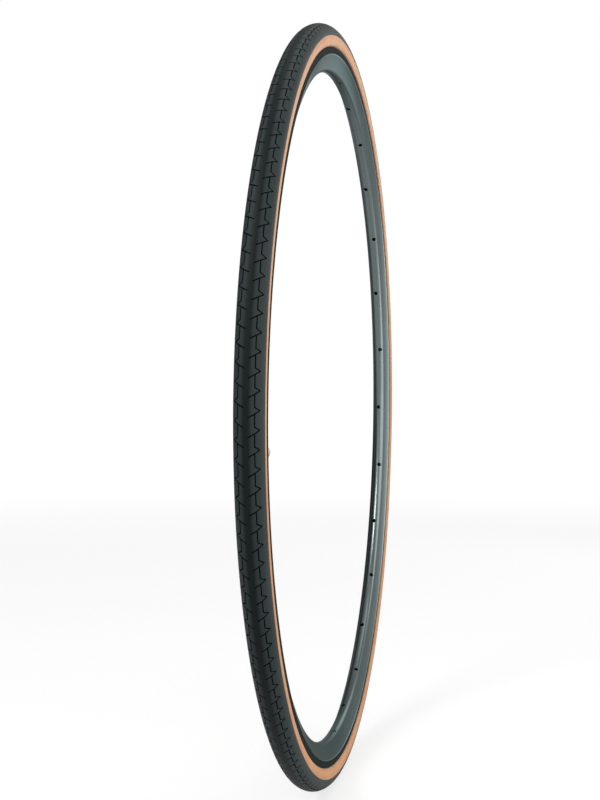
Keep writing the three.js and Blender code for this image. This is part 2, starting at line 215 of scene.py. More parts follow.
def draw_outline(name, corners):
    """Draws a closed outline through (x, y) corners in the plane z = 0 and leaves it open."""
    points = [Vector((x, y, 0)) for x, y in corners]
    to_object_mode()
    bpy.ops.mesh.primitive_plane_add(size=PEN, location=points[0])
    bpy.context.object.name = name
    bpy.context.object.data.name = name
    bpy.ops.object.transform_apply(location=True, rotation=False, scale=False)
    bpy.ops.object.mode_set(mode="EDIT")
    bpy.ops.mesh.select_mode(type="VERT")
    bpy.ops.mesh.select_all(action="SELECT")
    bpy.ops.mesh.merge(type="CENTER")
    for here, there in zip(points, points[1:]):
        bpy.ops.mesh.extrude_vertices_move(TRANSFORM_OT_translate={"value": there - here})
    bpy.ops.mesh.select_all(action="SELECT")
    bpy.ops.mesh.edge_face_add()
    return bpy.context.object


def round_corners(radius, segments, test):
    """Rounds the corners of the open outline that pass the test."""
    pick("VERT", test)
    bpy.ops.mesh.bevel(affect="VERTICES", offset=radius, segments=segments, profile=0.5)


def weld(threshold=WELD):
    """Joins the open piece's points that lie on top of each other."""
    bpy.ops.mesh.select_all(action="SELECT")
    bpy.ops.mesh.remove_doubles(threshold=threshold)


def face_outward():
    bpy.ops.mesh.select_all(action="SELECT")
    bpy.ops.mesh.normals_make_consistent(inside=False)


def copy_about_axle(count):
    """Copies the open piece's mesh round the axle, count times in all."""
    bpy.ops.mesh.select_all(action="SELECT")
    angle = 2 * math.pi - 2 * math.pi / count
    bpy.ops.mesh.spin(steps=count - 1, dupli=True, angle=angle, center=CENTRE, axis=AXLE)


def spin_outline(steps):
    """Turns the open outline all the way round the axle and closes the seam."""
    bpy.ops.mesh.select_mode(type="FACE")
    bpy.ops.mesh.select_all(action="SELECT")
    bpy.ops.mesh.delete(type="ONLY_FACE")
    bpy.ops.mesh.select_mode(type="VERT")
    bpy.ops.mesh.select_all(action="SELECT")
    bpy.ops.mesh.spin(steps=steps, angle=2 * math.pi, center=CENTRE, axis=AXLE)
    weld()
    face_outward()


def both_sides(half):
    """An outline about the middle plane, from its half with side >= 0."""
    other = [(radius, -side) for radius, side in reversed(half) if side > WELD]
    return list(half) + other


print("Edges that turn by more than", round(math.degrees(CREASE)), "degrees stay sharp")

# %% [markdown]
# ## Building materials from nodes
#
# Each finish is a small tree of nodes, which could be wired by hand in the Shader editor. One helper
# adds a node with its settings and inputs, and one turns the sRGB colours that a colour picker shows
# into the linear values that Blender wants.

# %% Helpers for materials
BUMP_DEPTH = 0.1 * MM


def colour(hex_value):
    """An sRGB hex colour as linear red, green, blue and alpha."""
    channels = [int(hex_value[start:start + 2], 16) / 255 for start in (1, 3, 5)]
    linear = [c / 12.92 if c <= 0.04045 else ((c + 0.055) / 1.055) ** 2.4 for c in channels]
    return (*linear, 1)


def add_node(tree, kind, inputs=None, **settings):
    """Adds a node. An input is a value, or another node's output, which is then linked to it."""
    node = tree.nodes.new("ShaderNode" + kind)
    for name, value in settings.items():
        setattr(node, name, value)
    for name, value in (inputs or {}).items():
        if isinstance(value, bpy.types.NodeSocket):
            tree.links.new(value, node.inputs[name])
        else:
            node.inputs[name].default_value = value
    return node


def start_material(name, **surface):
    """A new material, its tree of nodes and the place of the point that it shades, in metres."""
    material = bpy.data.materials.new(name)
    material.use_nodes = True
    tree = material.node_tree
    shader = tree.nodes["Principled BSDF"]
    for socket, value in surface.items():
        shader.inputs[socket.replace("_", " ")].default_value = value
    place = add_node(tree, "TexCoord").outputs["Object"]
    return material, tree, place


def dress(material, base, height=None, strength=0.0, depth=BUMP_DEPTH):
    """Gives a started material its colour and, where it has a height, a bump."""
    tree = material.node_tree
    shader = tree.nodes["Principled BSDF"]
    tree.links.new(base, shader.inputs["Base Color"])
    if height is not None:
        bump = add_node(tree, "Bump", {"Height": height, "Strength": strength, "Distance": depth})
        tree.links.new(bump.outputs["Normal"], shader.inputs["Normal"])
    return material


def blend_colours(tree, share, first, second):
    """One colour where the share is 0, the other where it is 1. Each is a hex colour or an output."""
    shades = [colour(shade) if isinstance(shade, str) else shade for shade in (first, second)]
    mix = add_node(tree, "Mix", {"Factor": share, "A": shades[0], "B": shades[1]}, data_type="RGBA")
    return mix.outputs["Result"]


def blend_levels(tree, share, first, second):
    """One number where the share is 0, the other where it is 1."""
    return add_node(tree, "Mix", {"Factor": share, "A": first, "B": second}).outputs["Result"]


def split(tree, vector):
    """The X, Y and Z of a vector."""
    return add_node(tree, "SeparateXYZ", {"Vector": vector}).outputs


def noise(tree, place, size, detail=2.0, roughness=0.5):
    """Soft random spots about as wide as the size, from 0 to 1."""
    inputs = {"Vector": place, "Scale": 1 / size, "Detail": detail, "Roughness": roughness}
    return add_node(tree, "TexNoise", inputs).outputs["Fac"]


def ramp(tree, value, start, end, low=0.0, high=1.0):
    """Runs smoothly from low to high while the value runs from start to end."""
    inputs = {"Value": value, "From Min": start, "From Max": end, "To Min": low, "To Max": high}
    node = add_node(tree, "MapRange", inputs, interpolation_type="SMOOTHSTEP")
    return node.outputs["Result"]


def arithmetic(tree, operation, first, second=0.0):
    return add_node(tree, "Math", {0: first, 1: second}, operation=operation).outputs["Value"]


print("The relief of a finish is up to", round(BUMP_DEPTH / MM, 1), "mm deep")

# %% [markdown]
# ## The tyre's section
#
# Every layer of the tyre follows one section. Its outside is a quarter ellipse above the widest line
# and another below it, and the casing inside is a round arch. Angles run from the crown, the middle
# of the tread, round to the bead.

# %% The tyre's section
CROWN_RISE = 10.5 * MM
LOWER_RISE = 12.146 * MM
CASING_RADIUS = 9.4 * MM
LAYER_GAP = 0.15 * MM
BREAKER_THICKNESS = 0.5 * MM
TREAD_THICKNESS = 2.1 * MM
widest_radius = tread_radius - CROWN_RISE
casing_crown = tread_radius - TREAD_THICKNESS - BREAKER_THICKNESS - 2 * LAYER_GAP
casing_centre = casing_crown - CASING_RADIUS


def on_outside(degrees, lift=0.0):
    """A point of the tyre's outside, lifted off it by so much: (radius, side)."""
    angle = math.radians(degrees)
    rise = CROWN_RISE if degrees < 90 else LOWER_RISE
    radius = widest_radius + (rise + lift) * math.cos(angle)
    return (radius, (half_width + lift) * math.sin(angle))


def on_arch(radius, degrees):
    """A point of the casing's round arch: (radius, side)."""
    angle = math.radians(degrees)
    return (casing_centre + radius * math.cos(angle), radius * math.sin(angle))


print(f"The section is widest at {widest_radius:.4f} m and its arch centres on {casing_centre:.4f} m")

# %% [markdown]
# ## Tread rubber
#
# Carbon-black rubber, vulcanised in a sandblasted steel mould. The eye reads it as a dark blue-grey
# satin with a very fine grain and soft random spots of bloom. Along the crown its colour is painted
# nearly black, as painted shade for the dark room that the crown faces. Towards the shoulders it is
# painted paler, as painted light from the side lamps. The mould leaves the grooves rough, and their
# dead black colour is painted shade for the dark inside them.

# %% Tread rubber
# Painted shade along the crown, fading out into the painted light of the shoulders
CROWN_SHADE_CORE = 1.2 * MM
CROWN_SHADE_FADE = 4.4 * MM
BLOOM_SIZE = 30 * MM
MOULD_GRAIN = 0.8 * MM
GROOVE_GRAIN = 0.6 * MM


def make_tread_rubber():
    surface = {"Roughness": 0.55, "Specular_IOR_Level": 0.16}
    material, tree, place = start_material("moulded_tread_rubber", **surface)
    # The shoulder colour is painted light from the side lamps, with random spots of bloom in it.
    shoulder = blend_colours(tree, noise(tree, place, BLOOM_SIZE, detail=3), "#2d3636", "#363f40")
    from_crown = arithmetic(tree, "ABSOLUTE", split(tree, place)["Y"])
    # The near-black crown is painted shade, fading into the painted light of the shoulders.
    base = blend_colours(tree, ramp(tree, from_crown, CROWN_SHADE_CORE, CROWN_SHADE_FADE), "#101b19", shoulder)
    return dress(material, base, noise(tree, place, MOULD_GRAIN, detail=3), 0.25)


# The grooves' near-black colour is painted shade for the dark inside them. Their high roughness is the
# mould's.
def make_groove_shade_rubber():
    surface = {"Roughness": 0.9, "Specular_IOR_Level": 0.1}
    material, tree, place = start_material("painted_shade_groove_rubber", **surface)
    return dress(material, blend_colours(tree, noise(tree, place, GROOVE_GRAIN), "#07090a", "#0d1011"))


tread_rubber = make_tread_rubber()
groove_shade_rubber = make_groove_shade_rubber()
print("Materials of the tread:", tread_rubber.name, "and", groove_shade_rubber.name)

# %% [markdown]
# ## The grooved tread
#
# The tread is moulded with two mirrored rows of arrow-like grooves, 164 to the turn, and the left
# row is half a pitch further on. A bump texture would show no groove at the tyre's edge, so they are
# real cuts. One pitch of one side is drawn flat, as the mould maker would, scored with the Bisect
# tool along both edges of each stroke, and sunk with Inset. Then it is bent to the section.

# %% Groove sizes
PITCH_COUNT = 164
PITCH = 12.8 * MM
FIRST_TIP_ANGLE = math.radians(0.428)
FLAT_RADIUS = 10.6 * MM
TREAD_EDGE = 88
FOOT_ANGLE = 32
TIP_ANGLE = 53
TAIL_ANGLE = 7.5
FOOT_BEHIND_TIP = 1.98 * MM
TAIL_AHEAD_OF_TIP = 4.76 * MM
BLUNT_TIP_HEIGHT = 0.35 * MM
GROOVE_HALF = 0.42 * MM
GROOVE_DEPTH = 0.95 * MM
GROOVE_DRAFT = 0.1 * MM
SEAT_ANGLES = (80, 54)
BREAKER_ANGLES = (48, 30, 12)
CELL_START = -2.9 * MM
CELL_COLUMNS = 4
CELL_ROWS = 14
turn_per_length = 2 * math.pi / (PITCH_COUNT * PITCH)
column_width = PITCH / CELL_COLUMNS


def flat_height(degrees):
    """How far over the crown's line an angle of the section lies on the flat drawing."""
    return FLAT_RADIUS * math.radians(degrees)


groove_foot = Vector((-FOOT_BEHIND_TIP, flat_height(FOOT_ANGLE), 0))
groove_tip = Vector((0, flat_height(TIP_ANGLE), 0))
groove_tail = Vector((TAIL_AHEAD_OF_TIP, flat_height(TAIL_ANGLE), 0))
groove_blunt = groove_tip.y + BLUNT_TIP_HEIGHT
cell_height = flat_height(TREAD_EDGE)
print(f"One pitch is {PITCH / MM:.1f} mm long and half the tread is {cell_height / MM:.1f} mm wide")


# %% Where the grooves run
def beside(start, end, point):
    """How far the point lies to the right of the line from start to end."""
    along = (end - start).normalized()
    offset = point - start
    return offset.x * along.y - offset.y * along.x


def beside_rise(point):
    """Distance to the right of the rise, the short stroke from the long line up to the tip."""
    return beside(groove_foot, groove_tip, point)


def beside_tail(point):
    """Distance to the inner side of the tail, the slanted stroke from the tip to the crown."""
    return beside(groove_tip, groove_tail, point)


def near_tail(point):
    low = groove_tail.y - 1.2 * GROOVE_HALF
    high = groove_tip.y + 2 * GROOVE_HALF
    inside = low < point.y < high and point.x > CELL_START + column_width / 4
    return inside and abs(beside_tail(point)) < column_width


def at_tail_end(point):
    return abs(beside_tail(point)) < GROOVE_HALF and point.y < groove_tail.y + 4 * GROOVE_HALF


def near_rise(point):
    low = groove_foot.y - GROOVE_HALF
    high = groove_tip.y + 2 * GROOVE_HALF
    inside = low < point.y < high and point.x < groove_tip.x + column_width / 2
    return inside and beside_tail(point) > -GROOVE_HALF


def at_tip(point):
    between = beside_rise(point) > -GROOVE_HALF and beside_tail(point) > -GROOVE_HALF
    return between and point.y > groove_tip.y - GROOVE_HALF


def in_groove(point):
    """True for a point of the flat drawing that lies in a groove."""
    above_line = point.y - groove_foot.y
    tail = groove_tail - groove_tip
    if abs(above_line) < GROOVE_HALF:
        if beside_rise(point) < GROOVE_HALF or beside_tail(point) < GROOVE_HALF:
            return True
    if point.y > groove_blunt:
        return False
    on_rise = abs(beside_rise(point)) < GROOVE_HALF and above_line > -GROOVE_HALF
    on_tail = abs(beside_tail(point)) < GROOVE_HALF and (point - groove_tip).dot(tail) < tail.dot(tail)
    return (on_rise and beside_tail(point) > -GROOVE_HALF) or (on_tail and beside_rise(point) > -GROOVE_HALF)


print("A groove is", round(2 * GROOVE_HALF / MM, 2), "mm wide where it is drawn")

# %% Draw one pitch flat
def score_line(start, along, side, test):
    """Cuts the faces that pass the test along a line, moved sideways to the right."""
    along = along.normalized()
    across = Vector((along.y, -along.x, 0))
    pick("FACE", test)
    bpy.ops.mesh.bisect(plane_co=start + across * side, plane_no=across)


def draw_flat_cell():
    """One pitch of one half of the tread, with its grooves scored and sunk."""
    to_object_mode()
    middle = (CELL_START + PITCH / 2, cell_height / 2, 0)
    bpy.ops.mesh.primitive_grid_add(
        x_subdivisions=CELL_COLUMNS, y_subdivisions=CELL_ROWS, size=1, location=middle
    )
    cell = bpy.context.object
    cell.name = "grooved_tread"
    cell.data.materials.append(tread_rubber)
    cell.data.materials.append(groove_shade_rubber)
    cell.scale = (PITCH, cell_height, 1)
    freeze()
    open_piece(cell)
    level = Vector((1, 0, 0))
    tail = groove_tail - groove_tip
    for side in (-GROOVE_HALF, GROOVE_HALF):
        score_line(groove_foot, level, side, lambda point: True)
    for side in (-GROOVE_HALF, GROOVE_HALF):
        score_line(groove_tip, tail, side, near_tail)
    score_line(groove_tail, tail.cross(Vector((0, 0, 1))), 0, at_tail_end)
    for side in (-GROOVE_HALF, GROOVE_HALF):
        score_line(groove_foot, groove_tip - groove_foot, side, near_rise)
    score_line(Vector((0, groove_blunt, 0)), level, 0, at_tip)
    pick("FACE", in_groove)
    bpy.ops.mesh.inset(thickness=GROOVE_DRAFT, depth=-GROOVE_DEPTH, use_boundary=False)
    bpy.ops.mesh.select_more()
    # The groove faces get the painted groove shade.
    cell.active_material_index = 1
    bpy.ops.object.material_slot_assign()
    to_object_mode()
    return cell


tread = draw_flat_cell()
print("One pitch of one side has", len(tread.data.polygons), "faces")


# %% Bend the pitch to the section and repeat it round the wheel
def bend_to_section(cell):
    """Wraps the flat drawing over the section and round the axle, on the right side of the tyre."""
    for vertex in cell.data.vertices:
        length, height, lift = vertex.co
        radius, side = on_outside(math.degrees(height / FLAT_RADIUS), lift)
        turn = FIRST_TIP_ANGLE + length * turn_per_length
        vertex.co = (radius * math.cos(turn), -side, radius * math.sin(turn))


def repeat_round_wheel(cell):
    """Copies the pitch round the axle, then mirrors the row half a pitch further on."""
    half_pitch = math.pi / PITCH_COUNT
    open_piece(cell)
    copy_about_axle(PITCH_COUNT)
    bpy.ops.mesh.select_all(action="SELECT")
    bpy.ops.mesh.duplicate()
    bpy.ops.transform.resize(value=(1, -1, 1), center_override=CENTRE)
    bpy.ops.transform.rotate(value=half_pitch, orient_axis="Y", center_override=CENTRE)
    weld(5 * WELD)


def close_underside():
    """Steps the tread's two edges in over the puncture breaker and joins them under the crown."""
    seat = CASING_RADIUS + LAYER_GAP
    over_breaker = CASING_RADIUS + 2 * LAYER_GAP + BREAKER_THICKNESS
    stops = [on_outside(TREAD_EDGE)] + [on_arch(seat, degrees) for degrees in SEAT_ANGLES]
    stops += [on_arch(over_breaker, degrees) for degrees in BREAKER_ANGLES]
    bpy.ops.mesh.select_mode(type="EDGE")
    bpy.ops.mesh.select_all(action="DESELECT")
    bpy.ops.mesh.select_non_manifold(
        extend=False, use_wire=False, use_multi_face=False, use_non_contiguous=False, use_verts=False
    )
    for (radius, side), (next_radius, next_side) in zip(stops, stops[1:]):
        inward = next_radius / radius
        bpy.ops.mesh.extrude_edges_move()
        bpy.ops.transform.resize(value=(inward, next_side / side, inward), center_override=CENTRE)
    bpy.ops.mesh.bridge_edge_loops()
    face_outward()


bend_to_section(tread)
repeat_round_wheel(tread)
close_underside()
tread = close_piece()
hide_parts("tread_cap")
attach(tread, "wheel")
print("The tread has", len(tread.data.polygons), "faces")

# %% [markdown]
# ## Tan sidewall rubber
#
# A thin skin of unfilled natural rubber over the casing's cords. Without carbon black it keeps a
# warm tan colour. It is pressed between the tread and the rim. A paler band round its middle is a
# painted highlight, and a greyer band at its foot, where it turns in under the flange, is painted
# shade. The cords below print through as very fine slanting lines. They lie under a millimetre
# apart, so they are drawn a little coarser.

# %% Tan sidewall rubber
SKIN_MIDDLE = 321 * MM
SKIN_FOOT_RADIUS = 317.1 * MM
CORD_SPACING = 1.6 * MM
CORD_COUNT = 2 * round(math.pi * SKIN_MIDDLE / CORD_SPACING)
CORD_SLANT = 38 / MM
CORD_SHARE = 0.12
STAIN_SIZE = 22 * MM
STAIN_FADE = (0.35, 0.65)
SKIN_GRAIN = 1.2 * MM
# A painted highlight: a paler band round the middle of the sidewall
PAINTED_SHEEN_SHARE = 0.5
PAINTED_SHEEN_BELOW = (SKIN_MIDDLE - 3 * MM, SKIN_MIDDLE - 1 * MM)
PAINTED_SHEEN_ABOVE = (SKIN_MIDDLE + 2.6 * MM, SKIN_MIDDLE + 0.4 * MM)
# Painted shade: a greyer band at the sidewall's foot, next to the flange
FOOT_SHADE_SHARE = 0.75
FOOT_SHADE_FADE = 0.5 * MM


def ring_radius(tree, place):
    """The point's distance from the axle line, in metres."""
    flat = add_node(tree, "VectorMath", {0: place, 1: (1, 0, 1)}, operation="MULTIPLY")
    length = add_node(tree, "VectorMath", {0: flat.outputs["Vector"]}, operation="LENGTH")
    return length.outputs["Value"]


def ring_turn(tree, place):
    """The point's angle about the axle, in radians."""
    parts = split(tree, place)
    return arithmetic(tree, "ARCTAN2", parts["Z"], parts["X"])


def cord_lines(tree, place):
    """Fine bias lines that close round the wheel, from -1 to 1."""
    around = arithmetic(tree, "MULTIPLY", ring_turn(tree, place), CORD_COUNT)
    slanted = arithmetic(tree, "MULTIPLY", ring_radius(tree, place), CORD_SLANT)
    return arithmetic(tree, "SINE", arithmetic(tree, "ADD", around, slanted))


def make_tan_rubber():
    surface = {"Roughness": 0.52, "Specular_IOR_Level": 0.22}
    material, tree, place = start_material("natural_tan_rubber", **surface)
    radius = ring_radius(tree, place)
    stain = noise(tree, place, STAIN_SIZE, detail=5, roughness=0.6)
    base = blend_colours(tree, ramp(tree, stain, *STAIN_FADE), "#cd8f60", "#d99e6e")
    # The paler band round the middle of the sidewall is a painted highlight.
    painted_sheen = arithmetic(tree, "MULTIPLY", ramp(tree, radius, *PAINTED_SHEEN_BELOW), ramp(tree, radius, *PAINTED_SHEEN_ABOVE))
    base = blend_colours(tree, arithmetic(tree, "MULTIPLY", painted_sheen, PAINTED_SHEEN_SHARE), base, "#dba377")
    lines = cord_lines(tree, place)
    base = blend_colours(tree, ramp(tree, lines, -1, 1, 0, CORD_SHARE), base, "#b3794f")
    # The greyer band at the foot, where the skin turns in under the flange, is painted shade.
    foot_shade = ramp(tree, radius, SKIN_FOOT_RADIUS, SKIN_FOOT_RADIUS - FOOT_SHADE_FADE, 0, FOOT_SHADE_SHARE)
    base = blend_colours(tree, foot_shade, base, "#7d6a5a")
    grain = noise(tree, place, SKIN_GRAIN, detail=3)
    height = arithmetic(tree, "ADD", grain, arithmetic(tree, "MULTIPLY", lines, CORD_SHARE))
    return dress(material, base, height, 0.2)


tan_rubber = make_tan_rubber()
print("Cords are drawn", round(CORD_SPACING / MM, 1), "mm apart in", tan_rubber.name)

# %% [markdown]
# ## The sidewalls
#
# Each sidewall is its own strip of rubber, from under the tread's edge to the bead. It stands full
# and almost upright, turns in over the flange and dips between flange and bead. A raised line just
# over the rim lets the rider see that the tyre sits evenly all round. The strip is drawn once for
# each side and turned about the axle.

# %% Sidewalls
RING_STEPS = 280
SKIN_TOP = 88.4
SKIN_RECESS = 0.12 * MM
SKIN_FULLNESS = 3
SKIN_POINTS = 9
SKIN_TURN_IN = 316.6 * MM
FITTING_LINE_RADIUS = 317.3 * MM
FITTING_LINE_WIDTH = 0.5 * MM
FITTING_LINE_RISE = 0.22 * MM
FITTING_LINE_TOP_SHARE = 0.3
SKIN_SEAT_ANGLES = (96, 89, 82.5)
LIP_HALF_WIDTH = 7.15 * MM
SKIN_OVER_FLANGE = 0.18 * MM
SKIN_FOOT = flange_top - 1.6 * MM
SKIN_FOOT_HALF_WIDTH = 5.45 * MM


def skin_side(radius):
    """How far the sidewall stands from the middle plane, at so much from the axle."""
    drop = (widest_radius - radius) / LOWER_RISE
    return (half_width - SKIN_RECESS) * (1 - drop ** SKIN_FULLNESS) ** (1 / SKIN_FULLNESS)


def sidewall_outline():
    top = on_outside(SKIN_TOP, -SKIN_RECESS)
    line_top = FITTING_LINE_RADIUS + FITTING_LINE_WIDTH
    length = widest_radius - line_top
    levels = [widest_radius - length * step / SKIN_POINTS for step in range(SKIN_POINTS + 1)]
    outside = [top] + [(radius, skin_side(radius)) for radius in levels]
    for share in (FITTING_LINE_TOP_SHARE, -FITTING_LINE_TOP_SHARE):
        radius = FITTING_LINE_RADIUS + share * FITTING_LINE_WIDTH
        outside.append((radius, skin_side(radius) + FITTING_LINE_RISE))
    line_foot = FITTING_LINE_RADIUS - FITTING_LINE_WIDTH / 2
    outside.append((line_foot, skin_side(line_foot)))
    outside.append((SKIN_TURN_IN, skin_side(SKIN_TURN_IN) - SKIN_RECESS))
    over_flange = flange_top + SKIN_OVER_FLANGE
    turned_in = [(over_flange, skin_side(SKIN_TURN_IN) - 4 * SKIN_RECESS), (over_flange, LIP_HALF_WIDTH)]
    foot = [(SKIN_FOOT, LIP_HALF_WIDTH), (SKIN_FOOT, SKIN_FOOT_HALF_WIDTH)]
    seat = CASING_RADIUS + LAYER_GAP
    return outside + turned_in + foot + [on_arch(seat, degrees) for degrees in SKIN_SEAT_ANGLES]


def make_ring(name, outline, node, material, side=1):
    """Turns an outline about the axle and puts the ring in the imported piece's place."""
    draw_outline(name, [(radius, side * across) for radius, across in outline])
    spin_outline(RING_STEPS)
    piece = close_piece()
    piece.data.materials.append(material)
    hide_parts(node)
    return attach(piece, "wheel")


skin = sidewall_outline()
for word, side in (("left", 1), ("right", -1)):
    sidewall = make_ring("tan_sidewall_" + word, skin, "sidewall_" + word, tan_rubber, side)
print("Each sidewall has", len(sidewall.data.polygons), "faces")

# %% [markdown]
# ## Anodised rim metal
#
# Extruded aluminium, bent into a hoop, brushed along its length and hard-anodised a grey green. The
# oxide is thin and glassy, so the metal still mirrors the studio as long soft bands that bend with
# the rim. Three finishes meet on it: the anodised walls and nose, a dull band on each side, whose dark
# colour is a painted dark reflection of the room beside the rim, and between them a thin edge, whose
# brighter metal is a painted highlight.

# %% Rim metal
BRUSH_SPACING = 0.5 * MM
BRUSH_FADE = (0.3, 0.7)
BRUSH_DEPTH = 0.05 * MM
BRUSH_SHARE = 0.35
CLOUD_SIZE = 40 * MM
EDGE_SPOT_SIZE = 9 * MM


def brush_lines(tree, place):
    """Fine lines that run round the hoop, because they change only across its section."""
    side = split(tree, place)["Y"]
    section = add_node(tree, "CombineXYZ", {"X": ring_radius(tree, place), "Y": side})
    return noise(tree, section.outputs["Vector"], BRUSH_SPACING, detail=4, roughness=0.7)


def make_rim_metal():
    surface = {"Metallic": 1.0, "Roughness": 0.3, "Specular_Tint": colour("#8e9292")}
    material, tree, place = start_material("anodised_aluminium", **surface)
    lines = brush_lines(tree, place)
    base = blend_colours(tree, noise(tree, place, CLOUD_SIZE), "#788483", "#838e8e")
    base = blend_colours(tree, ramp(tree, lines, *BRUSH_FADE, 0, BRUSH_SHARE), base, "#667170")
    return dress(material, base, lines, 0.12, BRUSH_DEPTH)


# The band's dark, dull colour is a painted dark reflection of the room at its side. Its brush lines are
# real.
def make_band_painted_dark():
    surface = {"Roughness": 0.8, "Specular_IOR_Level": 0.05}
    material, tree, place = start_material("brake_band_painted_dark", **surface)
    lines = ramp(tree, brush_lines(tree, place), *BRUSH_FADE)
    return dress(material, blend_colours(tree, lines, "#172120", "#232e2d"))


# The edge's brighter metal is a painted highlight along the step between band and wall. Its spots vary at
# random.
def make_edge_painted_highlight():
    surface = {"Metallic": 1.0, "Roughness": 0.22, "Specular_Tint": colour("#aab4b4")}
    material, tree, place = start_material("painted_highlight_edge", **surface)
    edge_spots = noise(tree, place, EDGE_SPOT_SIZE, detail=3)
    return dress(material, blend_colours(tree, edge_spots, "#98a4a5", "#acb8ba"))


rim_metal = make_rim_metal()
band_painted_dark = make_band_painted_dark()
edge_painted_highlight = make_edge_painted_highlight()
print("Materials of the rim:", rim_metal.name, band_painted_dark.name, "and", edge_painted_highlight.name)

# %% [markdown]
# ## The rim
#
# A hollow hoop with hooked flanges that hold the tyre's beads, a flat band on each side, and walls
# that lean in to a round nose, where the spokes pull. Outline and hollow are each drawn and turned,
# the hollow is taken away with a Boolean modifier, and so are the drills for 28 spokes and a valve.

# %% Rim outlines
NOSE_RADIUS = 5 * MM
NOSE_STEPS = 12
INSIDE_NOSE_STEPS = 4
BAND_HEIGHT = 5.7 * MM
BAND_STEP = 0.35 * MM
FLANGE_ROUNDING = 0.45 * MM
BEAD_SEAT = 311 * MM
CHANNEL_HALF_WIDTH = 7.75 * MM
HOOK_HALF_WIDTH = 7.35 * MM
HOOK_LIP = 1.1 * MM
HOOK_SLOPE = 0.4 * MM
WELL_RADIUS = 308.4 * MM
WELL_HALF_WIDTH = 4.2 * MM
WELL_SLOPE = 0.7 * MM
SIDE_WALL = 1.1 * MM
BRIDGE_WALL = 1.2 * MM
SPOKE_BED_WALL = 1.6 * MM
nose_centre = bed_radius + NOSE_RADIUS
band_foot = (flange_top - BAND_HEIGHT, rim_half_width)
wall_top = (band_foot[0] - BAND_STEP, rim_half_width - BAND_STEP)
wall_reach = math.hypot(wall_top[0] - nose_centre, wall_top[1])
wall_aim = math.atan2(wall_top[1], nose_centre - wall_top[0])
nose_angle = wall_aim - math.acos(NOSE_RADIUS / wall_reach)


def on_nose(radius, share):
    """A point of the nose, from its bottom at share 0 to the side wall's foot at share 1."""
    angle = share * nose_angle
    return (nose_centre - radius * math.cos(angle), radius * math.sin(angle))


nose_foot = on_nose(NOSE_RADIUS, 1)
wall_lean = (wall_top[1] - nose_foot[1]) / (wall_top[0] - nose_foot[0])


def inside_wall(radius, inset=0.0):
    """The side wall's inner face at so much from the axle, moved in by the inset."""
    outside = wall_top[1] - wall_lean * (wall_top[0] - radius)
    return (radius, outside - (SIDE_WALL + inset) * math.hypot(1, wall_lean))


def inside_nose(inset=0.0):
    radius = NOSE_RADIUS - SPOKE_BED_WALL - inset
    return [on_nose(radius, step / INSIDE_NOSE_STEPS) for step in range(INSIDE_NOSE_STEPS + 1)]


def rim_outline():
    nose = [on_nose(NOSE_RADIUS, step / NOSE_STEPS) for step in range(NOSE_STEPS + 1)]
    hook = [
        (flange_top, rim_half_width),
        (flange_top, HOOK_HALF_WIDTH),
        (flange_top - HOOK_LIP, HOOK_HALF_WIDTH),
        (flange_top - HOOK_LIP - HOOK_SLOPE, CHANNEL_HALF_WIDTH),
    ]
    channel = [
        (BEAD_SEAT, CHANNEL_HALF_WIDTH),
        (BEAD_SEAT, WELL_HALF_WIDTH + WELL_SLOPE),
        (WELL_RADIUS, WELL_HALF_WIDTH),
    ]
    return both_sides(nose + [wall_top, band_foot] + hook + channel)


def hollow_outline():
    """Follows the nose and the side walls up to the bridge under the bead seats."""
    bridge = [inside_wall(BEAD_SEAT - BRIDGE_WALL), (WELL_RADIUS - BRIDGE_WALL, WELL_HALF_WIDTH)]
    return both_sides(inside_nose() + bridge)


print(f"The nose is rounded about {nose_centre:.4f} m and the bands start at {band_foot[0]:.4f} m")

# %% Cutting and drilling
SPOKE_HOLES = 28
SPOKE_HOLE_RADIUS = 2.1 * MM
SPOKE_HOLE_STAGGER = 1.24 * MM
ACCESS_HOLE_RADIUS = 3.6 * MM
VALVE_HOLE_RADIUS = 3.3 * MM
OVERRUN = 2 * MM
DRILL_SIDES = 24
DRILL_TWIST = math.radians(4.3)
spoke_pitch = 2 * math.pi / SPOKE_HOLES
valve_turn = math.atan2(valve_out.z, valve_out.x)


def combine(piece, tool, operation="DIFFERENCE"):
    """Cuts the piece with the tool, joins them or keeps what they share, and deletes the tool."""
    choose(piece)
    boolean = piece.modifiers.new("combine", "BOOLEAN")
    boolean.operation = operation
    boolean.solver = "EXACT"
    boolean.object = tool
    bpy.ops.object.modifier_apply(modifier=boolean.name)
    bpy.data.objects.remove(tool)


def make_drill(radius, low, high, angle=0.0, side=0.0):
    """A round cutter that points at the axle, between two distances from it.

    It is twisted a little about its own line, so that none of its edges falls on a ring of the rim.
    """
    to_object_mode()
    middle = (low + high) / 2
    bpy.ops.mesh.primitive_cylinder_add(
        vertices=DRILL_SIDES, radius=radius, depth=high - low, rotation=(0, 0, DRILL_TWIST)
    )
    freeze()
    drill = bpy.context.object
    drill.rotation_euler.y = math.pi / 2 - angle
    drill.location = (middle * math.cos(angle), side, middle * math.sin(angle))
    freeze()
    return drill


def repeat_about_axle(piece, count):
    open_piece(piece)
    copy_about_axle(count)
    to_object_mode()


def drill_through(piece, drill):
    """Cuts with a drill and welds the points that the cut leaves on top of each other."""
    combine(piece, drill)
    open_piece(piece)
    weld()
    to_object_mode()


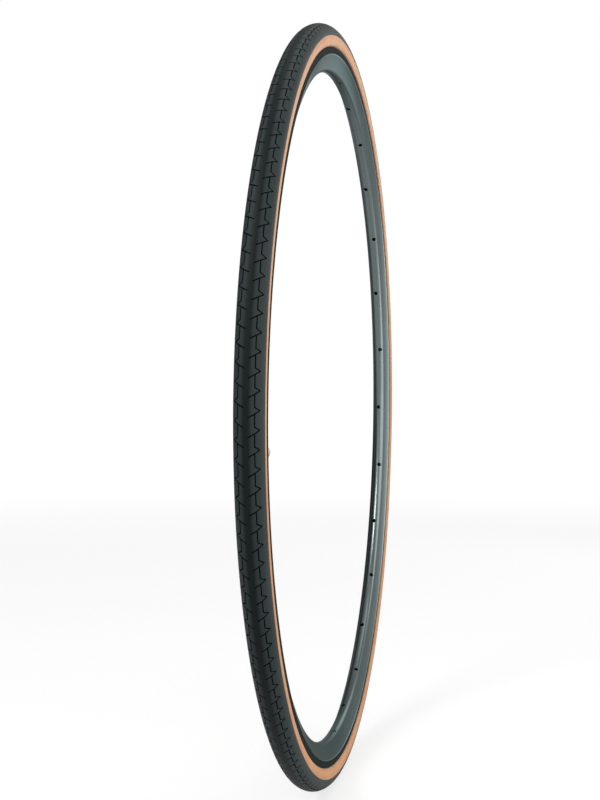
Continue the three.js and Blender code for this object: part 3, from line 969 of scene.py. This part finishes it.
def drill_rim(piece):
    """Drills the spoke holes in two staggered rows, the access holes above them and the valve hole."""
    bed = (bed_radius - OVERRUN, bed_radius + SPOKE_BED_WALL + OVERRUN)
    bridge = (WELL_RADIUS - BRIDGE_WALL - OVERRUN / 2, BEAD_SEAT + OVERRUN)
    for row, side in ((0, SPOKE_HOLE_STAGGER), (1, -SPOKE_HOLE_STAGGER)):
        drill = make_drill(SPOKE_HOLE_RADIUS, *bed, row * spoke_pitch, side)
        repeat_about_axle(drill, SPOKE_HOLES // 2)
        drill_through(piece, drill)
    drill = make_drill(ACCESS_HOLE_RADIUS, *bridge)
    repeat_about_axle(drill, SPOKE_HOLES)
    drill_through(piece, drill)
    drill_through(piece, make_drill(VALVE_HOLE_RADIUS, bed[0], bridge[1], valve_turn))


print(f"The spoke holes stand {math.degrees(spoke_pitch):.3f} degrees apart round the rim")

# %% Make the rim
FLANGE_ARC_STEPS = 3
RIM_CREASE = math.radians(28)


def distance_out(point):
    return math.hypot(point.x, point.z)


def on_band(point):
    return distance_out(point) > band_foot[0] and abs(point.y) > rim_half_width - FLANGE_ROUNDING


# The step faces between band and wall, which carry the painted highlight
def on_highlight_edge(point):
    between = wall_top[0] < distance_out(point) < band_foot[0]
    return between and abs(point.y) > wall_top[1]


def at_flange_corner(point):
    return point.x > flange_top - WELD and abs(point.y) > rim_half_width - WELD


def make_rim():
    rim = draw_outline("drilled_rim", rim_outline())
    for material in (rim_metal, band_painted_dark, edge_painted_highlight):
        rim.data.materials.append(material)
    round_corners(FLANGE_ROUNDING, FLANGE_ARC_STEPS, at_flange_corner)
    spin_outline(RING_STEPS)
    # The bands get the painted dark reflection, and the step between band and wall the painted highlight.
    for index, test in ((1, on_band), (2, on_highlight_edge)):
        pick("FACE", test)
        rim.active_material_index = index
        bpy.ops.object.material_slot_assign()
    to_object_mode()
    draw_outline("rim_hollow", hollow_outline())
    spin_outline(RING_STEPS)
    to_object_mode()
    combine(rim, bpy.data.objects["rim_hollow"])
    drill_rim(rim)
    open_piece(rim)
    return close_piece(RIM_CREASE)


rim = make_rim()
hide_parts("rim")
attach(rim, "wheel")
print("The rim has", len(rim.data.polygons), "faces")

# %% [markdown]
# ## Finishes of the inner pieces
#
# Cloth, wire, rubber, brass and nickel. Each has one small material: two close shades with a pattern
# as fine as the real weave, wire or casting has it, and a bump of the same pattern.

# %% Finishes of the inner pieces
THREAD_SPACING = 0.8 * MM
SKIM_GRAIN = 2 * MM
PLATING_GRAIN = 1.5 * MM


def make_cloth(name, dark, light):
    """Rubbered cord cloth: threads that cross on the bias, softened by the rubber between them."""
    material, tree, place = start_material(name, Roughness=0.88, Specular_IOR_Level=0.2)
    count = round(2 * math.pi * casing_centre / THREAD_SPACING)
    around = arithmetic(tree, "MULTIPLY", ring_turn(tree, place), count)
    across = arithmetic(tree, "MULTIPLY", split(tree, place)["Y"], 2 * math.pi / THREAD_SPACING)
    warp = arithmetic(tree, "SINE", arithmetic(tree, "ADD", around, across))
    weft = arithmetic(tree, "SINE", arithmetic(tree, "SUBTRACT", around, across))
    weave = ramp(tree, arithmetic(tree, "ADD", warp, weft), -2, 2)
    return dress(material, blend_colours(tree, weave, dark, light), weave, 0.5)


def make_smooth_finish(name, dark, light, grain, strength, **surface):
    """A finish without a weave: soft spots as wide as its grain."""
    material, tree, place = start_material(name, **surface)
    spots = noise(tree, place, grain, detail=3)
    return dress(material, blend_colours(tree, spots, dark, light), spots, strength)


casing_cloth = make_cloth("rubbered_cotton_cord", "#a08f73", "#bfae90")
aramid_cloth = make_cloth("aramid_weave", "#a9832f", "#cfa94f")
chafer_cloth = make_cloth("chafer_canvas", "#1f1e1d", "#31302e")
cotton_tape = make_cloth("cotton_rim_tape", "#cdc4aa", "#e9e2cc")
bead_steel = make_smooth_finish(
    "bronzed_bead_wire", "#8b8577", "#a9a391", PLATING_GRAIN, 0.1, Metallic=1.0, Roughness=0.35
)
bare_aluminium = make_smooth_finish(
    "mill_finish_aluminium", "#a3a7a9", "#b8bcbe", SKIM_GRAIN, 0.15, Metallic=1.0, Roughness=0.42
)
butyl_rubber = make_smooth_finish(
    "butyl_rubber", "#161617", "#222224", SKIM_GRAIN, 0.2, Roughness=0.55, Specular_IOR_Level=0.4
)
print("Inner finishes:", casing_cloth.name, aramid_cloth.name, chafer_cloth.name, cotton_tape.name)

# %% [markdown]
# ## The casing and the beads
#
# The casing is rubbered cord cloth, folded round a steel bead wire on each side. An aramid strip
# under the tread stops thorns, and a canvas chafer keeps the rim from rubbing the cloth. They follow
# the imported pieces, but with round arches and a round pocket for each wire.

# %% Sizes of the layers
PLY_THICKNESS = 0.45 * MM
CHAFER_THICKNESS = 0.35 * MM
WIRE_RADIUS = 0.7 * MM
WIRE_SIDES = 12
TURN_UP_HEIGHT = 1.3 * MM
BEAD_ANGLE = 96
ARCH_STEPS = 14
BREAKER_EDGE_ANGLE = 47
CHAFER_END_ANGLE = 235
WIRE_STEPS = 8
pocket_half = WIRE_RADIUS + LAYER_GAP
wrap_half = pocket_half + PLY_THICKNESS
chafer_half = wrap_half + LAYER_GAP + CHAFER_THICKNESS
wire_level = BEAD_SEAT + LAYER_GAP + chafer_half
wire_side = CHANNEL_HALF_WIDTH - LAYER_GAP - chafer_half
turn_up_top = wire_level + TURN_UP_HEIGHT


def round_wire(radius, start, end, steps):
    """Points round the bead wire's centre. Angles run from straight up towards the flange."""
    angles = [math.radians(start + (end - start) * step / steps) for step in range(steps + 1)]
    return [(wire_level + radius * math.cos(turn), wire_side + radius * math.sin(turn)) for turn in angles]


def arch_points(radius, start, end, steps):
    return [on_arch(radius, start + (end - start) * step / steps) for step in range(steps + 1)]


def casing_outline():
    outside = arch_points(CASING_RADIUS, 0, BEAD_ANGLE, ARCH_STEPS)
    inside = arch_points(CASING_RADIUS - PLY_THICKNESS, BEAD_ANGLE, 0, ARCH_STEPS)
    pocket = round_wire(pocket_half, -90, -270, WIRE_STEPS)
    wrap = round_wire(wrap_half, 90, 270, WIRE_STEPS)
    turn_up = [(turn_up_top, pocket[-1][1]), (turn_up_top, wrap[0][1])]
    return both_sides(outside + pocket + turn_up + wrap + inside)


def breaker_outline():
    inner = CASING_RADIUS + LAYER_GAP
    outer = arch_points(inner + BREAKER_THICKNESS, 0, BREAKER_EDGE_ANGLE, WIRE_STEPS)
    return both_sides(outer + arch_points(inner, BREAKER_EDGE_ANGLE, 0, WIRE_STEPS))


def chafer_outline():
    outer = round_wire(chafer_half, 90, CHAFER_END_ANGLE, WIRE_STEPS)
    inner = round_wire(chafer_half - CHAFER_THICKNESS, CHAFER_END_ANGLE, 90, WIRE_STEPS)
    return [(turn_up_top, outer[0][1])] + outer + inner + [(turn_up_top, inner[-1][1])]


print(f"The layers turn up as far as {turn_up_top / MM:.2f} mm from the axle")

# %% Make the layers
make_ring("folded_casing", casing_outline(), "casing_ply", casing_cloth)
make_ring("aramid_breaker", breaker_outline(), "puncture_breaker", aramid_cloth)
wire_outline = round_wire(WIRE_RADIUS, 0, 360 - 360 / WIRE_SIDES, WIRE_SIDES - 1)
chafer = chafer_outline()
for word, side in (("left", 1), ("right", -1)):
    make_ring("round_bead_wire_" + word, wire_outline, "bead_wire_" + word, bead_steel, side)
    make_ring("canvas_chafer_" + word, chafer, "chafer_" + word, chafer_cloth, side)
print("The bead wires lie", round(wire_level / MM, 2), "mm from the axle")

# %% [markdown]
# ## The tube, the tape and the sleeve
#
# The tube is a closed hose, so its air space is turned as a second ring and taken away. Tube and
# tape are pierced where the valve passes. The sleeve is a short channel that plugs the two ends of
# the bent rim together, so its outline is turned through a small angle only and closed at its ends.

# %% Tube and tape
TUBE_WALL = 0.9 * MM
TUBE_NECK = 4.35 * MM
TAPE_THICKNESS = 0.6 * MM
TUBE_OVER_TAPE = 0.9 * MM
tape_top = WELL_RADIUS + LAYER_GAP + TAPE_THICKNESS
tube_foot = tape_top + TUBE_OVER_TAPE


def tube_outline(inset):
    radius = CASING_RADIUS - PLY_THICKNESS - LAYER_GAP - inset
    crown = arch_points(radius, 0, BEAD_ANGLE, ARCH_STEPS)
    neck = TUBE_NECK - inset
    return both_sides(crown + [(wire_level + wrap_half, neck), (tube_foot + inset, neck)])


def make_tube():
    draw_outline("tube_air", tube_outline(TUBE_WALL))
    spin_outline(RING_STEPS)
    to_object_mode()
    tube = make_ring("butyl_tube", tube_outline(0), "inner_tube", butyl_rubber)
    combine(tube, bpy.data.objects["tube_air"])
    combine(tube, make_drill(VALVE_HOLE_RADIUS, WELL_RADIUS, tube_foot + TUBE_WALL + OVERRUN, valve_turn))
    open_piece(tube)
    return close_piece()


def make_tape():
    side = WELL_HALF_WIDTH - LAYER_GAP
    outline = both_sides([(WELL_RADIUS + LAYER_GAP, side), (tape_top, side)])
    tape = make_ring("cotton_tape_band", outline, "rim_tape", cotton_tape)
    combine(tape, make_drill(VALVE_HOLE_RADIUS, WELL_RADIUS - OVERRUN, tape_top + OVERRUN, valve_turn))
    open_piece(tape)
    return close_piece()


tube = make_tube()
tape = make_tape()
print("The tube has", len(tube.data.polygons), "faces and the tape", len(tape.data.polygons))

# %% Joint sleeve
SLEEVE_LENGTH = 54 * MM
SLEEVE_WALL = 1.4 * MM
SLEEVE_GAP = 0.3 * MM
SLEEVE_STEPS = 12
BORE_OVERLENGTH = 1.2
sleeve_turn = SLEEVE_LENGTH / BEAD_SEAT


def sleeve_outline(inset):
    top = WELL_RADIUS - BRIDGE_WALL - inset
    return both_sides(inside_nose(inset) + [inside_wall(top, inset)])


def turn_part_way(name, outline, turn, middle):
    """Turns a filled outline through a part of a turn, centred on an angle, with both ends closed."""
    draw_outline(name, outline)
    bpy.ops.mesh.select_all(action="SELECT")
    bpy.ops.mesh.spin(steps=SLEEVE_STEPS, angle=turn, center=CENTRE, axis=AXLE)
    bpy.ops.object.mode_set(mode="OBJECT")
    piece = bpy.context.object
    ends = [math.atan2(vertex.co.z, vertex.co.x) for vertex in piece.data.vertices]
    piece.rotation_euler = (0, (max(ends) + min(ends)) / 2 - middle, 0)
    freeze()
    open_piece(piece)
    weld()
    face_outward()
    return close_piece()


def make_sleeve():
    middle = spoke_pitch / 2
    bore_turn = BORE_OVERLENGTH * sleeve_turn
    bore = turn_part_way("sleeve_bore", sleeve_outline(SLEEVE_GAP + SLEEVE_WALL), bore_turn, middle)
    sleeve = turn_part_way("joint_sleeve", sleeve_outline(SLEEVE_GAP), sleeve_turn, middle)
    combine(sleeve, bore)
    sleeve.data.materials.append(bare_aluminium)
    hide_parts("rim_joint_sleeve")
    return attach(sleeve, "wheel")


sleeve = make_sleeve()
print("The sleeve has", len(sleeve.data.polygons), "faces")

# %% [markdown]
# ## Valve metals and plastic
#
# The stem and its nut are brass under bright nickel, which the eye reads as a warm silver. The core
# inside is bare brass. The dust cap is moulded from uncoloured nylon: milky, slightly soft in its
# gloss, and a little light comes through its thin wall.

# %% Valve finishes
nickel_plate = make_smooth_finish(
    "nickel_plated_brass", "#b3b2ab", "#c3c2bb", PLATING_GRAIN, 0.05, Metallic=1.0, Roughness=0.24
)
bare_brass = make_smooth_finish(
    "turned_brass", "#b3985a", "#c2a766", PLATING_GRAIN, 0.08, Metallic=1.0, Roughness=0.3
)
cap_nylon = make_smooth_finish(
    "milky_nylon", "#dfdfda", "#e9e9e4", PLATING_GRAIN, 0.1, Roughness=0.42, Transmission_Weight=0.35
)
print("Finishes of the valve:", nickel_plate.name, bare_brass.name, "and", cap_nylon.name)

# %% [markdown]
# ## The valve
#
# A lathe turns the real pieces, so each is an outline of (radius, level) spun about its own axis,
# where a level is a distance from the axle. The turned piece is then laid along the valve's line.
# Knurls are faces pushed in round the rim of a nut, and flats are sawn with a block.

# %% Levels along the valve
STEM_PROTRUSION = 11.5 * MM
FIT_GAP = 0.3 * MM
CORE_HEAD_THICKNESS = 1.8 * MM
CORE_LENGTH = 15 * MM
TIP_NUT_HEIGHT = 1.9 * MM
TIP_NUT_TRAVEL = 2.2 * MM
PIN_HEAD_THICKNESS = 0.5 * MM
PIN_FOOT_THICKNESS = 0.6 * MM
SEAL_THICKNESS = 1.2 * MM
STEM_FOOT_THICKNESS = 0.8 * MM
PATCH_THICKNESS = 0.5 * MM
stem_tip = bed_flat - STEM_PROTRUSION
core_tip = stem_tip - FIT_GAP - CORE_HEAD_THICKNESS
core_foot = stem_tip + CORE_LENGTH
nut_foot = core_tip - FIT_GAP
nut_tip = nut_foot - TIP_NUT_HEIGHT
pin_tip = nut_tip - TIP_NUT_TRAVEL - PIN_HEAD_THICKNESS - FIT_GAP
seal_foot = core_foot + FIT_GAP
pin_foot = seal_foot + SEAL_THICKNESS + FIT_GAP
stem_foot = tube_foot + TUBE_WALL + FIT_GAP / 2
patch_foot = tape_top + FIT_GAP / 4
along_valve = Matrix((valve_out.cross(Vector(AXLE)), valve_out, Vector(AXLE))).transposed().to_4x4()
print(f"The valve reaches from {pin_tip / MM:.1f} to {stem_foot / MM:.1f} mm from the axle")


# %% Helpers for turned pieces
TURNED_STEPS = 48
KNURL_MARGIN = 0.04 * MM
KNURL_DEPTH = 0.16 * MM
OUTERMOST = 0.985


def turned(name, outline):
    """Spins an outline of (radius, level) corners, given in metres, about the valve's own line."""
    piece = draw_outline(name, outline)
    spin_outline(TURNED_STEPS)
    to_object_mode()
    return piece


def washer(bore, radius, low, high, bevel=0.0):
    """A ring with its two outer corners bevelled."""
    if bevel == 0:
        return [(bore, low), (radius, low), (radius, high), (bore, high)]
    return [(bore, low), (radius - bevel, low), (radius, low + bevel), (radius, high - bevel),
            (radius - bevel, high), (bore, high)]


def knurl(piece, radius, above=0.0):
    """Pushes every other face of the outermost wall a little inwards, between slim lands."""
    def every_other(point):
        turn = math.atan2(point.z, point.x) % (2 * math.pi)
        outermost = math.hypot(point.x, point.z) > OUTERMOST * radius and point.y > above
        return outermost and int(turn / (2 * math.pi / TURNED_STEPS)) % 2 == 0
    open_piece(piece)
    pick("FACE", every_other)
    bpy.ops.mesh.inset(thickness=KNURL_MARGIN, depth=-KNURL_DEPTH, use_individual=True)
    to_object_mode()


def block(low, high):
    """A plain sawing block between two corners."""
    to_object_mode()
    low, high = Vector(low), Vector(high)
    bpy.ops.mesh.primitive_cube_add(size=1, location=(low + high) / 2)
    bpy.context.object.scale = high - low
    freeze()
    return bpy.context.object


def finish_on_valve(piece, material, node, body):
    """Lays a turned piece along the valve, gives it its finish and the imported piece's place."""
    choose(piece)
    piece.matrix_world = along_valve
    freeze()
    bpy.ops.object.shade_smooth_by_angle(angle=CREASE)
    piece.data.materials.append(material)
    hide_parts(node)
    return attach(piece, body)


print("A turned piece is spun in", TURNED_STEPS, "steps round its axis")

# %% [markdown]
# ### The stem and its thread
#
# The thread is one pitch of its profile, wound with the Screw modifier into a long helix. Both ends
# are cut square with Bisect, which also fills them. Its threshold has to be far finer than the
# pitch, or the ends stay open. The smooth shank, the foot and the bore follow with Boolean modifiers.
# The shank is a hair thicker than the thread and starts inside it, so that no two faces coincide.

# %% Stem
STEM_RADIUS = 3 * MM
STEM_BORE = 1.95 * MM
THREAD_PITCH = 0.8 * MM
THREAD_DEPTH = 0.36 * MM
THREAD_LENGTH = 15.5 * MM
THREAD_STEPS = 32
THREAD_CREST = (0.45, 0.55)
ROOT_SHARE = 0.99
FOOT_RADIUS = 4.5 * MM
FOOT_HALF_WIDTH = 3.15 * MM
SHANK_OVERLAP = 0.15 * MM
SHANK_SWELL = 0.02 * MM


def wound_thread(name, radius, depth, low, high):
    """A closed threaded rod between two levels."""
    to_object_mode()
    turns = math.ceil((high - low) / THREAD_PITCH) + 2
    start = low - THREAD_PITCH
    crest = [(radius, start + THREAD_PITCH * share) for share in THREAD_CREST]
    corners = [(radius - depth, start)] + crest + [(radius - depth, start + THREAD_PITCH)]
    rod = draw_outline(name, corners)
    bpy.ops.mesh.select_mode(type="FACE")
    bpy.ops.mesh.select_all(action="SELECT")
    bpy.ops.mesh.delete(type="ONLY_FACE")
    pick("EDGE", lambda point: point.x < radius - ROOT_SHARE * depth)
    bpy.ops.mesh.delete(type="EDGE")
    to_object_mode()
    screw = rod.modifiers.new("thread", "SCREW")
    screw.axis = "Y"
    screw.steps = screw.render_steps = THREAD_STEPS
    screw.screw_offset = THREAD_PITCH
    screw.iterations = turns
    choose(rod)
    bpy.ops.object.modifier_apply(modifier=screw.name)
    open_piece(rod)
    weld(2 * WELD)
    for level, direction in ((low, -1), (high, 1)):
        bpy.ops.mesh.select_all(action="SELECT")
        bpy.ops.mesh.bisect(
            plane_co=(0, level, 0), plane_no=(0, direction, 0), use_fill=True, clear_outer=True,
            threshold=WELD / 10,
        )
    face_outward()
    to_object_mode()
    return rod


def make_stem():
    thread_end = stem_tip + THREAD_LENGTH
    stem = wound_thread("threaded_stem", STEM_RADIUS, THREAD_DEPTH, stem_tip, thread_end)
    shank_start = thread_end - THREAD_PITCH - SHANK_OVERLAP
    shank = [
        (0, shank_start),
        (STEM_RADIUS - THREAD_DEPTH - SHANK_SWELL, shank_start),
        (STEM_RADIUS + SHANK_SWELL, thread_end - SHANK_OVERLAP),
        (STEM_RADIUS + SHANK_SWELL, stem_foot),
        (FOOT_RADIUS, stem_foot),
        (FOOT_RADIUS, stem_foot + STEM_FOOT_THICKNESS),
        (0, stem_foot + STEM_FOOT_THICKNESS),
    ]
    body = turned("stem_shank", shank)
    reach = FOOT_RADIUS + OVERRUN
    foot_top = stem_foot + OVERRUN
    flats = block((-reach, stem_tip, -FOOT_HALF_WIDTH), (reach, foot_top, FOOT_HALF_WIDTH))
    combine(body, flats, "INTERSECT")
    combine(stem, body, "UNION")
    bore = turned("stem_bore", washer(0, STEM_BORE, stem_tip - OVERRUN, stem_foot + OVERRUN))
    combine(stem, bore)
    return finish_on_valve(stem, nickel_plate, "valve_stem", "wheel")


stem = make_stem()
print("The stem has", len(stem.data.polygons), "faces")

# %% [markdown]
# ### The core, its pin, seal and nut
#
# The core's head has two sawn flats for a key. The pin runs loose in the core. Its foot carries the
# rubber seal, and its tip is spread so that the knurled nut can't come off.

# %% Core and nuts
CORE_BORE = 1 * MM
CORE_HEAD_RADIUS = 2.1 * MM
CORE_RADIUS = 1.65 * MM
CORE_FLAT = 1.7 * MM
PIN_RADIUS = 0.55 * MM
PIN_HEAD_RADIUS = 0.95 * MM
PIN_FOOT_RADIUS = 1.2 * MM
SEAL_BORE = 0.7 * MM
SEAL_RADIUS = 1.5 * MM
TIP_NUT_BORE = 0.625 * MM
TIP_NUT_RADIUS = 1.95 * MM
RIM_NUT_RADIUS = 5.5 * MM
RIM_NUT_HEIGHT = 3.2 * MM
RIM_NUT_BEVEL = 0.6 * MM
TINY_BEVEL = 0.2 * MM


def make_core():
    core = turned("brass_core", [
        (CORE_BORE, core_tip), (CORE_HEAD_RADIUS - TINY_BEVEL, core_tip),
        (CORE_HEAD_RADIUS, core_tip + TINY_BEVEL), (CORE_HEAD_RADIUS, core_tip + CORE_HEAD_THICKNESS),
        (CORE_RADIUS, core_tip + CORE_HEAD_THICKNESS), (CORE_RADIUS, core_foot), (CORE_BORE, core_foot),
    ])
    reach = CORE_HEAD_RADIUS + OVERRUN
    flats_foot = core_tip + CORE_HEAD_THICKNESS - TINY_BEVEL
    for side in (1, -1):
        edges = sorted((side * CORE_FLAT, side * reach))
        combine(core, block((-reach, core_tip - OVERRUN, edges[0]), (reach, flats_foot, edges[1])))
    return finish_on_valve(core, bare_brass, "valve_core_body", "wheel")


def make_pin():
    pin = turned("core_pin", [
        (0, pin_tip), (PIN_HEAD_RADIUS - TINY_BEVEL, pin_tip), (PIN_HEAD_RADIUS, pin_tip + TINY_BEVEL),
        (PIN_HEAD_RADIUS, pin_tip + PIN_HEAD_THICKNESS), (PIN_RADIUS, pin_tip + PIN_HEAD_THICKNESS),
        (PIN_RADIUS, pin_foot), (PIN_FOOT_RADIUS, pin_foot),
        (PIN_FOOT_RADIUS, pin_foot + PIN_FOOT_THICKNESS), (0, pin_foot + PIN_FOOT_THICKNESS),
    ])
    return finish_on_valve(pin, bare_brass, "valve_core_pin", "core_pin")


def make_seal():
    outline = washer(SEAL_BORE, SEAL_RADIUS, seal_foot, seal_foot + SEAL_THICKNESS, TINY_BEVEL)
    seal = turned("rubber_seal", outline)
    return finish_on_valve(seal, butyl_rubber, "valve_core_seal", "core_pin")


def make_knurled_nut(name, outline, radius, material, node, body):
    nut = turned(name, outline)
    knurl(nut, radius)
    return finish_on_valve(nut, material, node, body)


core = make_core()
pin = make_pin()
seal = make_seal()
tip_nut = make_knurled_nut(
    "knurled_tip_nut", washer(TIP_NUT_BORE, TIP_NUT_RADIUS, nut_tip, nut_foot, TINY_BEVEL),
    TIP_NUT_RADIUS, bare_brass, "valve_tip_nut", "tip_nut",
)
rim_nut_seat = bed_radius - FIT_GAP / 2
rim_nut = make_knurled_nut(
    "knurled_rim_nut",
    washer(VALVE_HOLE_RADIUS, RIM_NUT_RADIUS, rim_nut_seat - RIM_NUT_HEIGHT, rim_nut_seat, RIM_NUT_BEVEL),
    RIM_NUT_RADIUS, nickel_plate, "valve_rim_nut", "rim_nut",
)
for piece in (core, pin, seal, tip_nut, rim_nut):
    print("The", piece.name, "has", len(piece.data.polygons), "faces")

# %% [markdown]
# ### The cap and the patch
#
# The cap is a thin moulded thimble with ribs round its skirt to grip. The patch is an oval of rubber
# that ties the tube to the stem, lying on the tape inside the tyre.

# %% Cap and patch
CAP_WALL = 0.55 * MM
CAP_SKIRT_WALL = 0.5 * MM
CAP_OVERLAP = 4 * MM
CAP_SHOULDER = 2.4 * MM
CAP_TIP_BORE = 2.25 * MM
CAP_ROUNDING = 0.35 * MM
PATCH_LENGTH = 18 * MM
PATCH_WIDTH = 8 * MM


def make_cap():
    roof = pin_tip - FIT_GAP
    skirt = VALVE_HOLE_RADIUS + CAP_SKIRT_WALL
    foot = stem_tip + CAP_OVERLAP
    shoulder = stem_tip - CAP_SHOULDER
    step = stem_tip - FIT_GAP
    cap = turned("ribbed_dust_cap", [
        (0, roof - CAP_WALL), (CAP_TIP_BORE - CAP_ROUNDING, roof - CAP_WALL),
        (CAP_TIP_BORE + CAP_WALL / 2, roof - CAP_WALL / 2), (CAP_TIP_BORE + CAP_WALL, roof),
        (skirt, shoulder), (skirt, foot - CAP_ROUNDING), (skirt - CAP_ROUNDING / 2, foot),
        (VALVE_HOLE_RADIUS, foot), (VALVE_HOLE_RADIUS, step), (CAP_TIP_BORE, step),
        (CAP_TIP_BORE, roof), (0, roof),
    ])
    knurl(cap, skirt, above=shoulder)
    return finish_on_valve(cap, cap_nylon, "valve_dust_cap", "dust_cap")


def make_patch():
    """A round disc pressed into an oval, with its hole drilled round afterwards."""
    disc = turned("oval_patch", washer(0, PATCH_LENGTH / 2, patch_foot, patch_foot + PATCH_THICKNESS))
    choose(disc)
    disc.scale.z = PATCH_WIDTH / PATCH_LENGTH
    freeze()
    hole = turned("patch_hole", washer(0, VALVE_HOLE_RADIUS, patch_foot - OVERRUN, patch_foot + OVERRUN))
    combine(disc, hole)
    return finish_on_valve(disc, butyl_rubber, "valve_base_patch", "wheel")


cap = make_cap()
patch = make_patch()
print("The cap has", len(cap.data.polygons), "faces and the patch", len(patch.data.polygons))

# %% [markdown]
# ## Light
#
# A studio on a white sweep: a long softbox on the right, a lamp high on the left, one above, one low
# on the right for the lower sidewall, and a panel behind on the right that the rim's upper wall
# mirrors. On the left behind stands nothing but the dark room, so the rim's left side stays black.
# The world is that room. Its white backdrop is seen only by the camera and by shiny surfaces, so it
# doesn't wash out the tyre.

# %% Lamps
WATTS_PER_AREA = 4
LAMPS = {
    "right_softbox": ((-0.8, -1.2, 0.0), (-0.8, 0, 0.0), (3.3, 1.6), 0.9),
    "left_high_lamp": ((-1.4, 1.1, 1.6), (0, 0, 0), (0.8, 0.8), 9.0),
    "top_lamp": ((0.3, -0.3, 1.8), (0, 0, 0), (1.2, 1.2), 0.8),
    "back_panel": ((1.9, -0.7, 0.6), (0, 0, 0.3), (1.0, 0.7), 1.2),
    "low_right_lamp": ((0.1, -1.0, -0.4), (0, 0, -0.35), (0.8, 0.4), 1.5),
}


def add_softbox(name, place, aim, size, strength):
    """A rectangular lamp that points from its place to its aim. Its strength is per area."""
    data = bpy.data.lights.new(name, "AREA")
    data.shape = "RECTANGLE"
    data.size, data.size_y = size
    data.energy = WATTS_PER_AREA * strength * data.size * data.size_y
    lamp = bpy.data.objects.new(name, data)
    bpy.context.collection.objects.link(lamp)
    lamp.location = place
    lamp.rotation_euler = (Vector(aim) - Vector(place)).to_track_quat("-Z", "Y").to_euler()
    lamp.visible_camera = False
    return lamp


lamps = [add_softbox(name, *settings) for name, settings in LAMPS.items()]
print("The studio has", len(lamps), "lamps")

# %% World
ROOM_LEVEL = 0.75
ROOM_DARK = 0.03
ROOM_BACK = 0.6
CEILING_LEVEL = 0.35
SWEEP_LEVEL = 0.5
SWEEP_WHITE = 1.0
BACK_FADE = (0.1, 0.6)
LEFT_FADE = (0.45, 0.85)
LEFT_LEAN = 0.6
CEILING_FADE = (0.35, 0.8)
SWEEP_FADE = (0.82, 0.9)


def seen_directly(tree):
    """1 for rays from the camera, from shiny surfaces and through clear ones, 0 for the rest."""
    rays = add_node(tree, "LightPath").outputs
    shiny = arithmetic(tree, "MAXIMUM", rays["Is Glossy Ray"], rays["Is Transmission Ray"])
    return arithmetic(tree, "MAXIMUM", rays["Is Camera Ray"], shiny)


def make_world():
    """The room is pale in front, dark on the left and white behind the tyre."""
    world = bpy.data.worlds.new("studio")
    bpy.context.scene.world = world
    world.use_nodes = True
    tree = world.node_tree
    way = split(tree, add_node(tree, "TexCoord").outputs["Generated"])
    room = ramp(tree, way["X"], *BACK_FADE, ROOM_LEVEL, ROOM_BACK)
    to_left = arithmetic(tree, "ADD", way["Y"], arithmetic(tree, "MULTIPLY", way["X"], LEFT_LEAN))
    room = blend_levels(tree, ramp(tree, to_left, *LEFT_FADE), room, ROOM_DARK)
    room = blend_levels(tree, ramp(tree, way["Z"], *CEILING_FADE), room, CEILING_LEVEL)
    backdrop = blend_levels(tree, seen_directly(tree), SWEEP_LEVEL, SWEEP_WHITE)
    level = blend_levels(tree, ramp(tree, way["X"], *SWEEP_FADE), room, backdrop)
    rays = add_node(tree, "LightPath").outputs
    level = blend_levels(tree, rays["Is Camera Ray"], level, SWEEP_WHITE)
    tree.links.new(level, tree.nodes["Background"].inputs["Strength"])
    tree.nodes["Background"].inputs["Color"].default_value = colour("#ffffff")
    return world


world = make_world()
print("The world is the", world.name)

# %% [markdown]
# ## The floor
#
# White board under the tyre. Part of its white is a glow of its own, which only the camera and shiny
# surfaces see, and those show it as a paler grey, so that the rim's underside keeps its depth. The
# lamps give the rest near the tyre, where it leaves a soft shadow. Further off their light fades,
# and the glow takes over until the board meets the backdrop.

# %% Floor
FLOOR_SIZE = 60
GLOW_NEAR = 0.7
GLOW_FAR = 0.9
GLOW_FADE = (0.8, 5.0)
GLOW_IN_MIRRORS = 0.5


def make_floor():
    to_object_mode()
    bpy.ops.mesh.primitive_plane_add(size=FLOOR_SIZE, location=(0, 0, -tread_radius))
    floor = bpy.context.object
    floor.name = "floor"
    bpy.ops.object.transform_apply(location=True, rotation=False, scale=False)
    surface = {"Roughness": 0.9, "Specular_IOR_Level": 0.0, "Base_Color": colour("#a2a2a2")}
    surface["Emission_Color"] = colour("#ffffff")
    material, tree, place = start_material("white_board", **surface)
    distance = add_node(tree, "VectorMath", {0: place}, operation="LENGTH").outputs["Value"]
    glow = ramp(tree, distance, *GLOW_FADE, GLOW_NEAR, GLOW_FAR)
    rays = add_node(tree, "LightPath").outputs
    mirrored = arithmetic(tree, "MULTIPLY", seen_directly(tree), GLOW_IN_MIRRORS)
    seen = arithmetic(tree, "MAXIMUM", rays["Is Camera Ray"], mirrored)
    glow = arithmetic(tree, "MULTIPLY", seen, glow)
    tree.links.new(glow, tree.nodes["Principled BSDF"].inputs["Emission Strength"])
    floor.data.materials.append(material)
    return floor


floor = make_floor()
bpy.context.scene.view_settings.view_transform = "Standard"
print("The", floor.name, "lies", round(tread_radius, 4), "m under the axle")
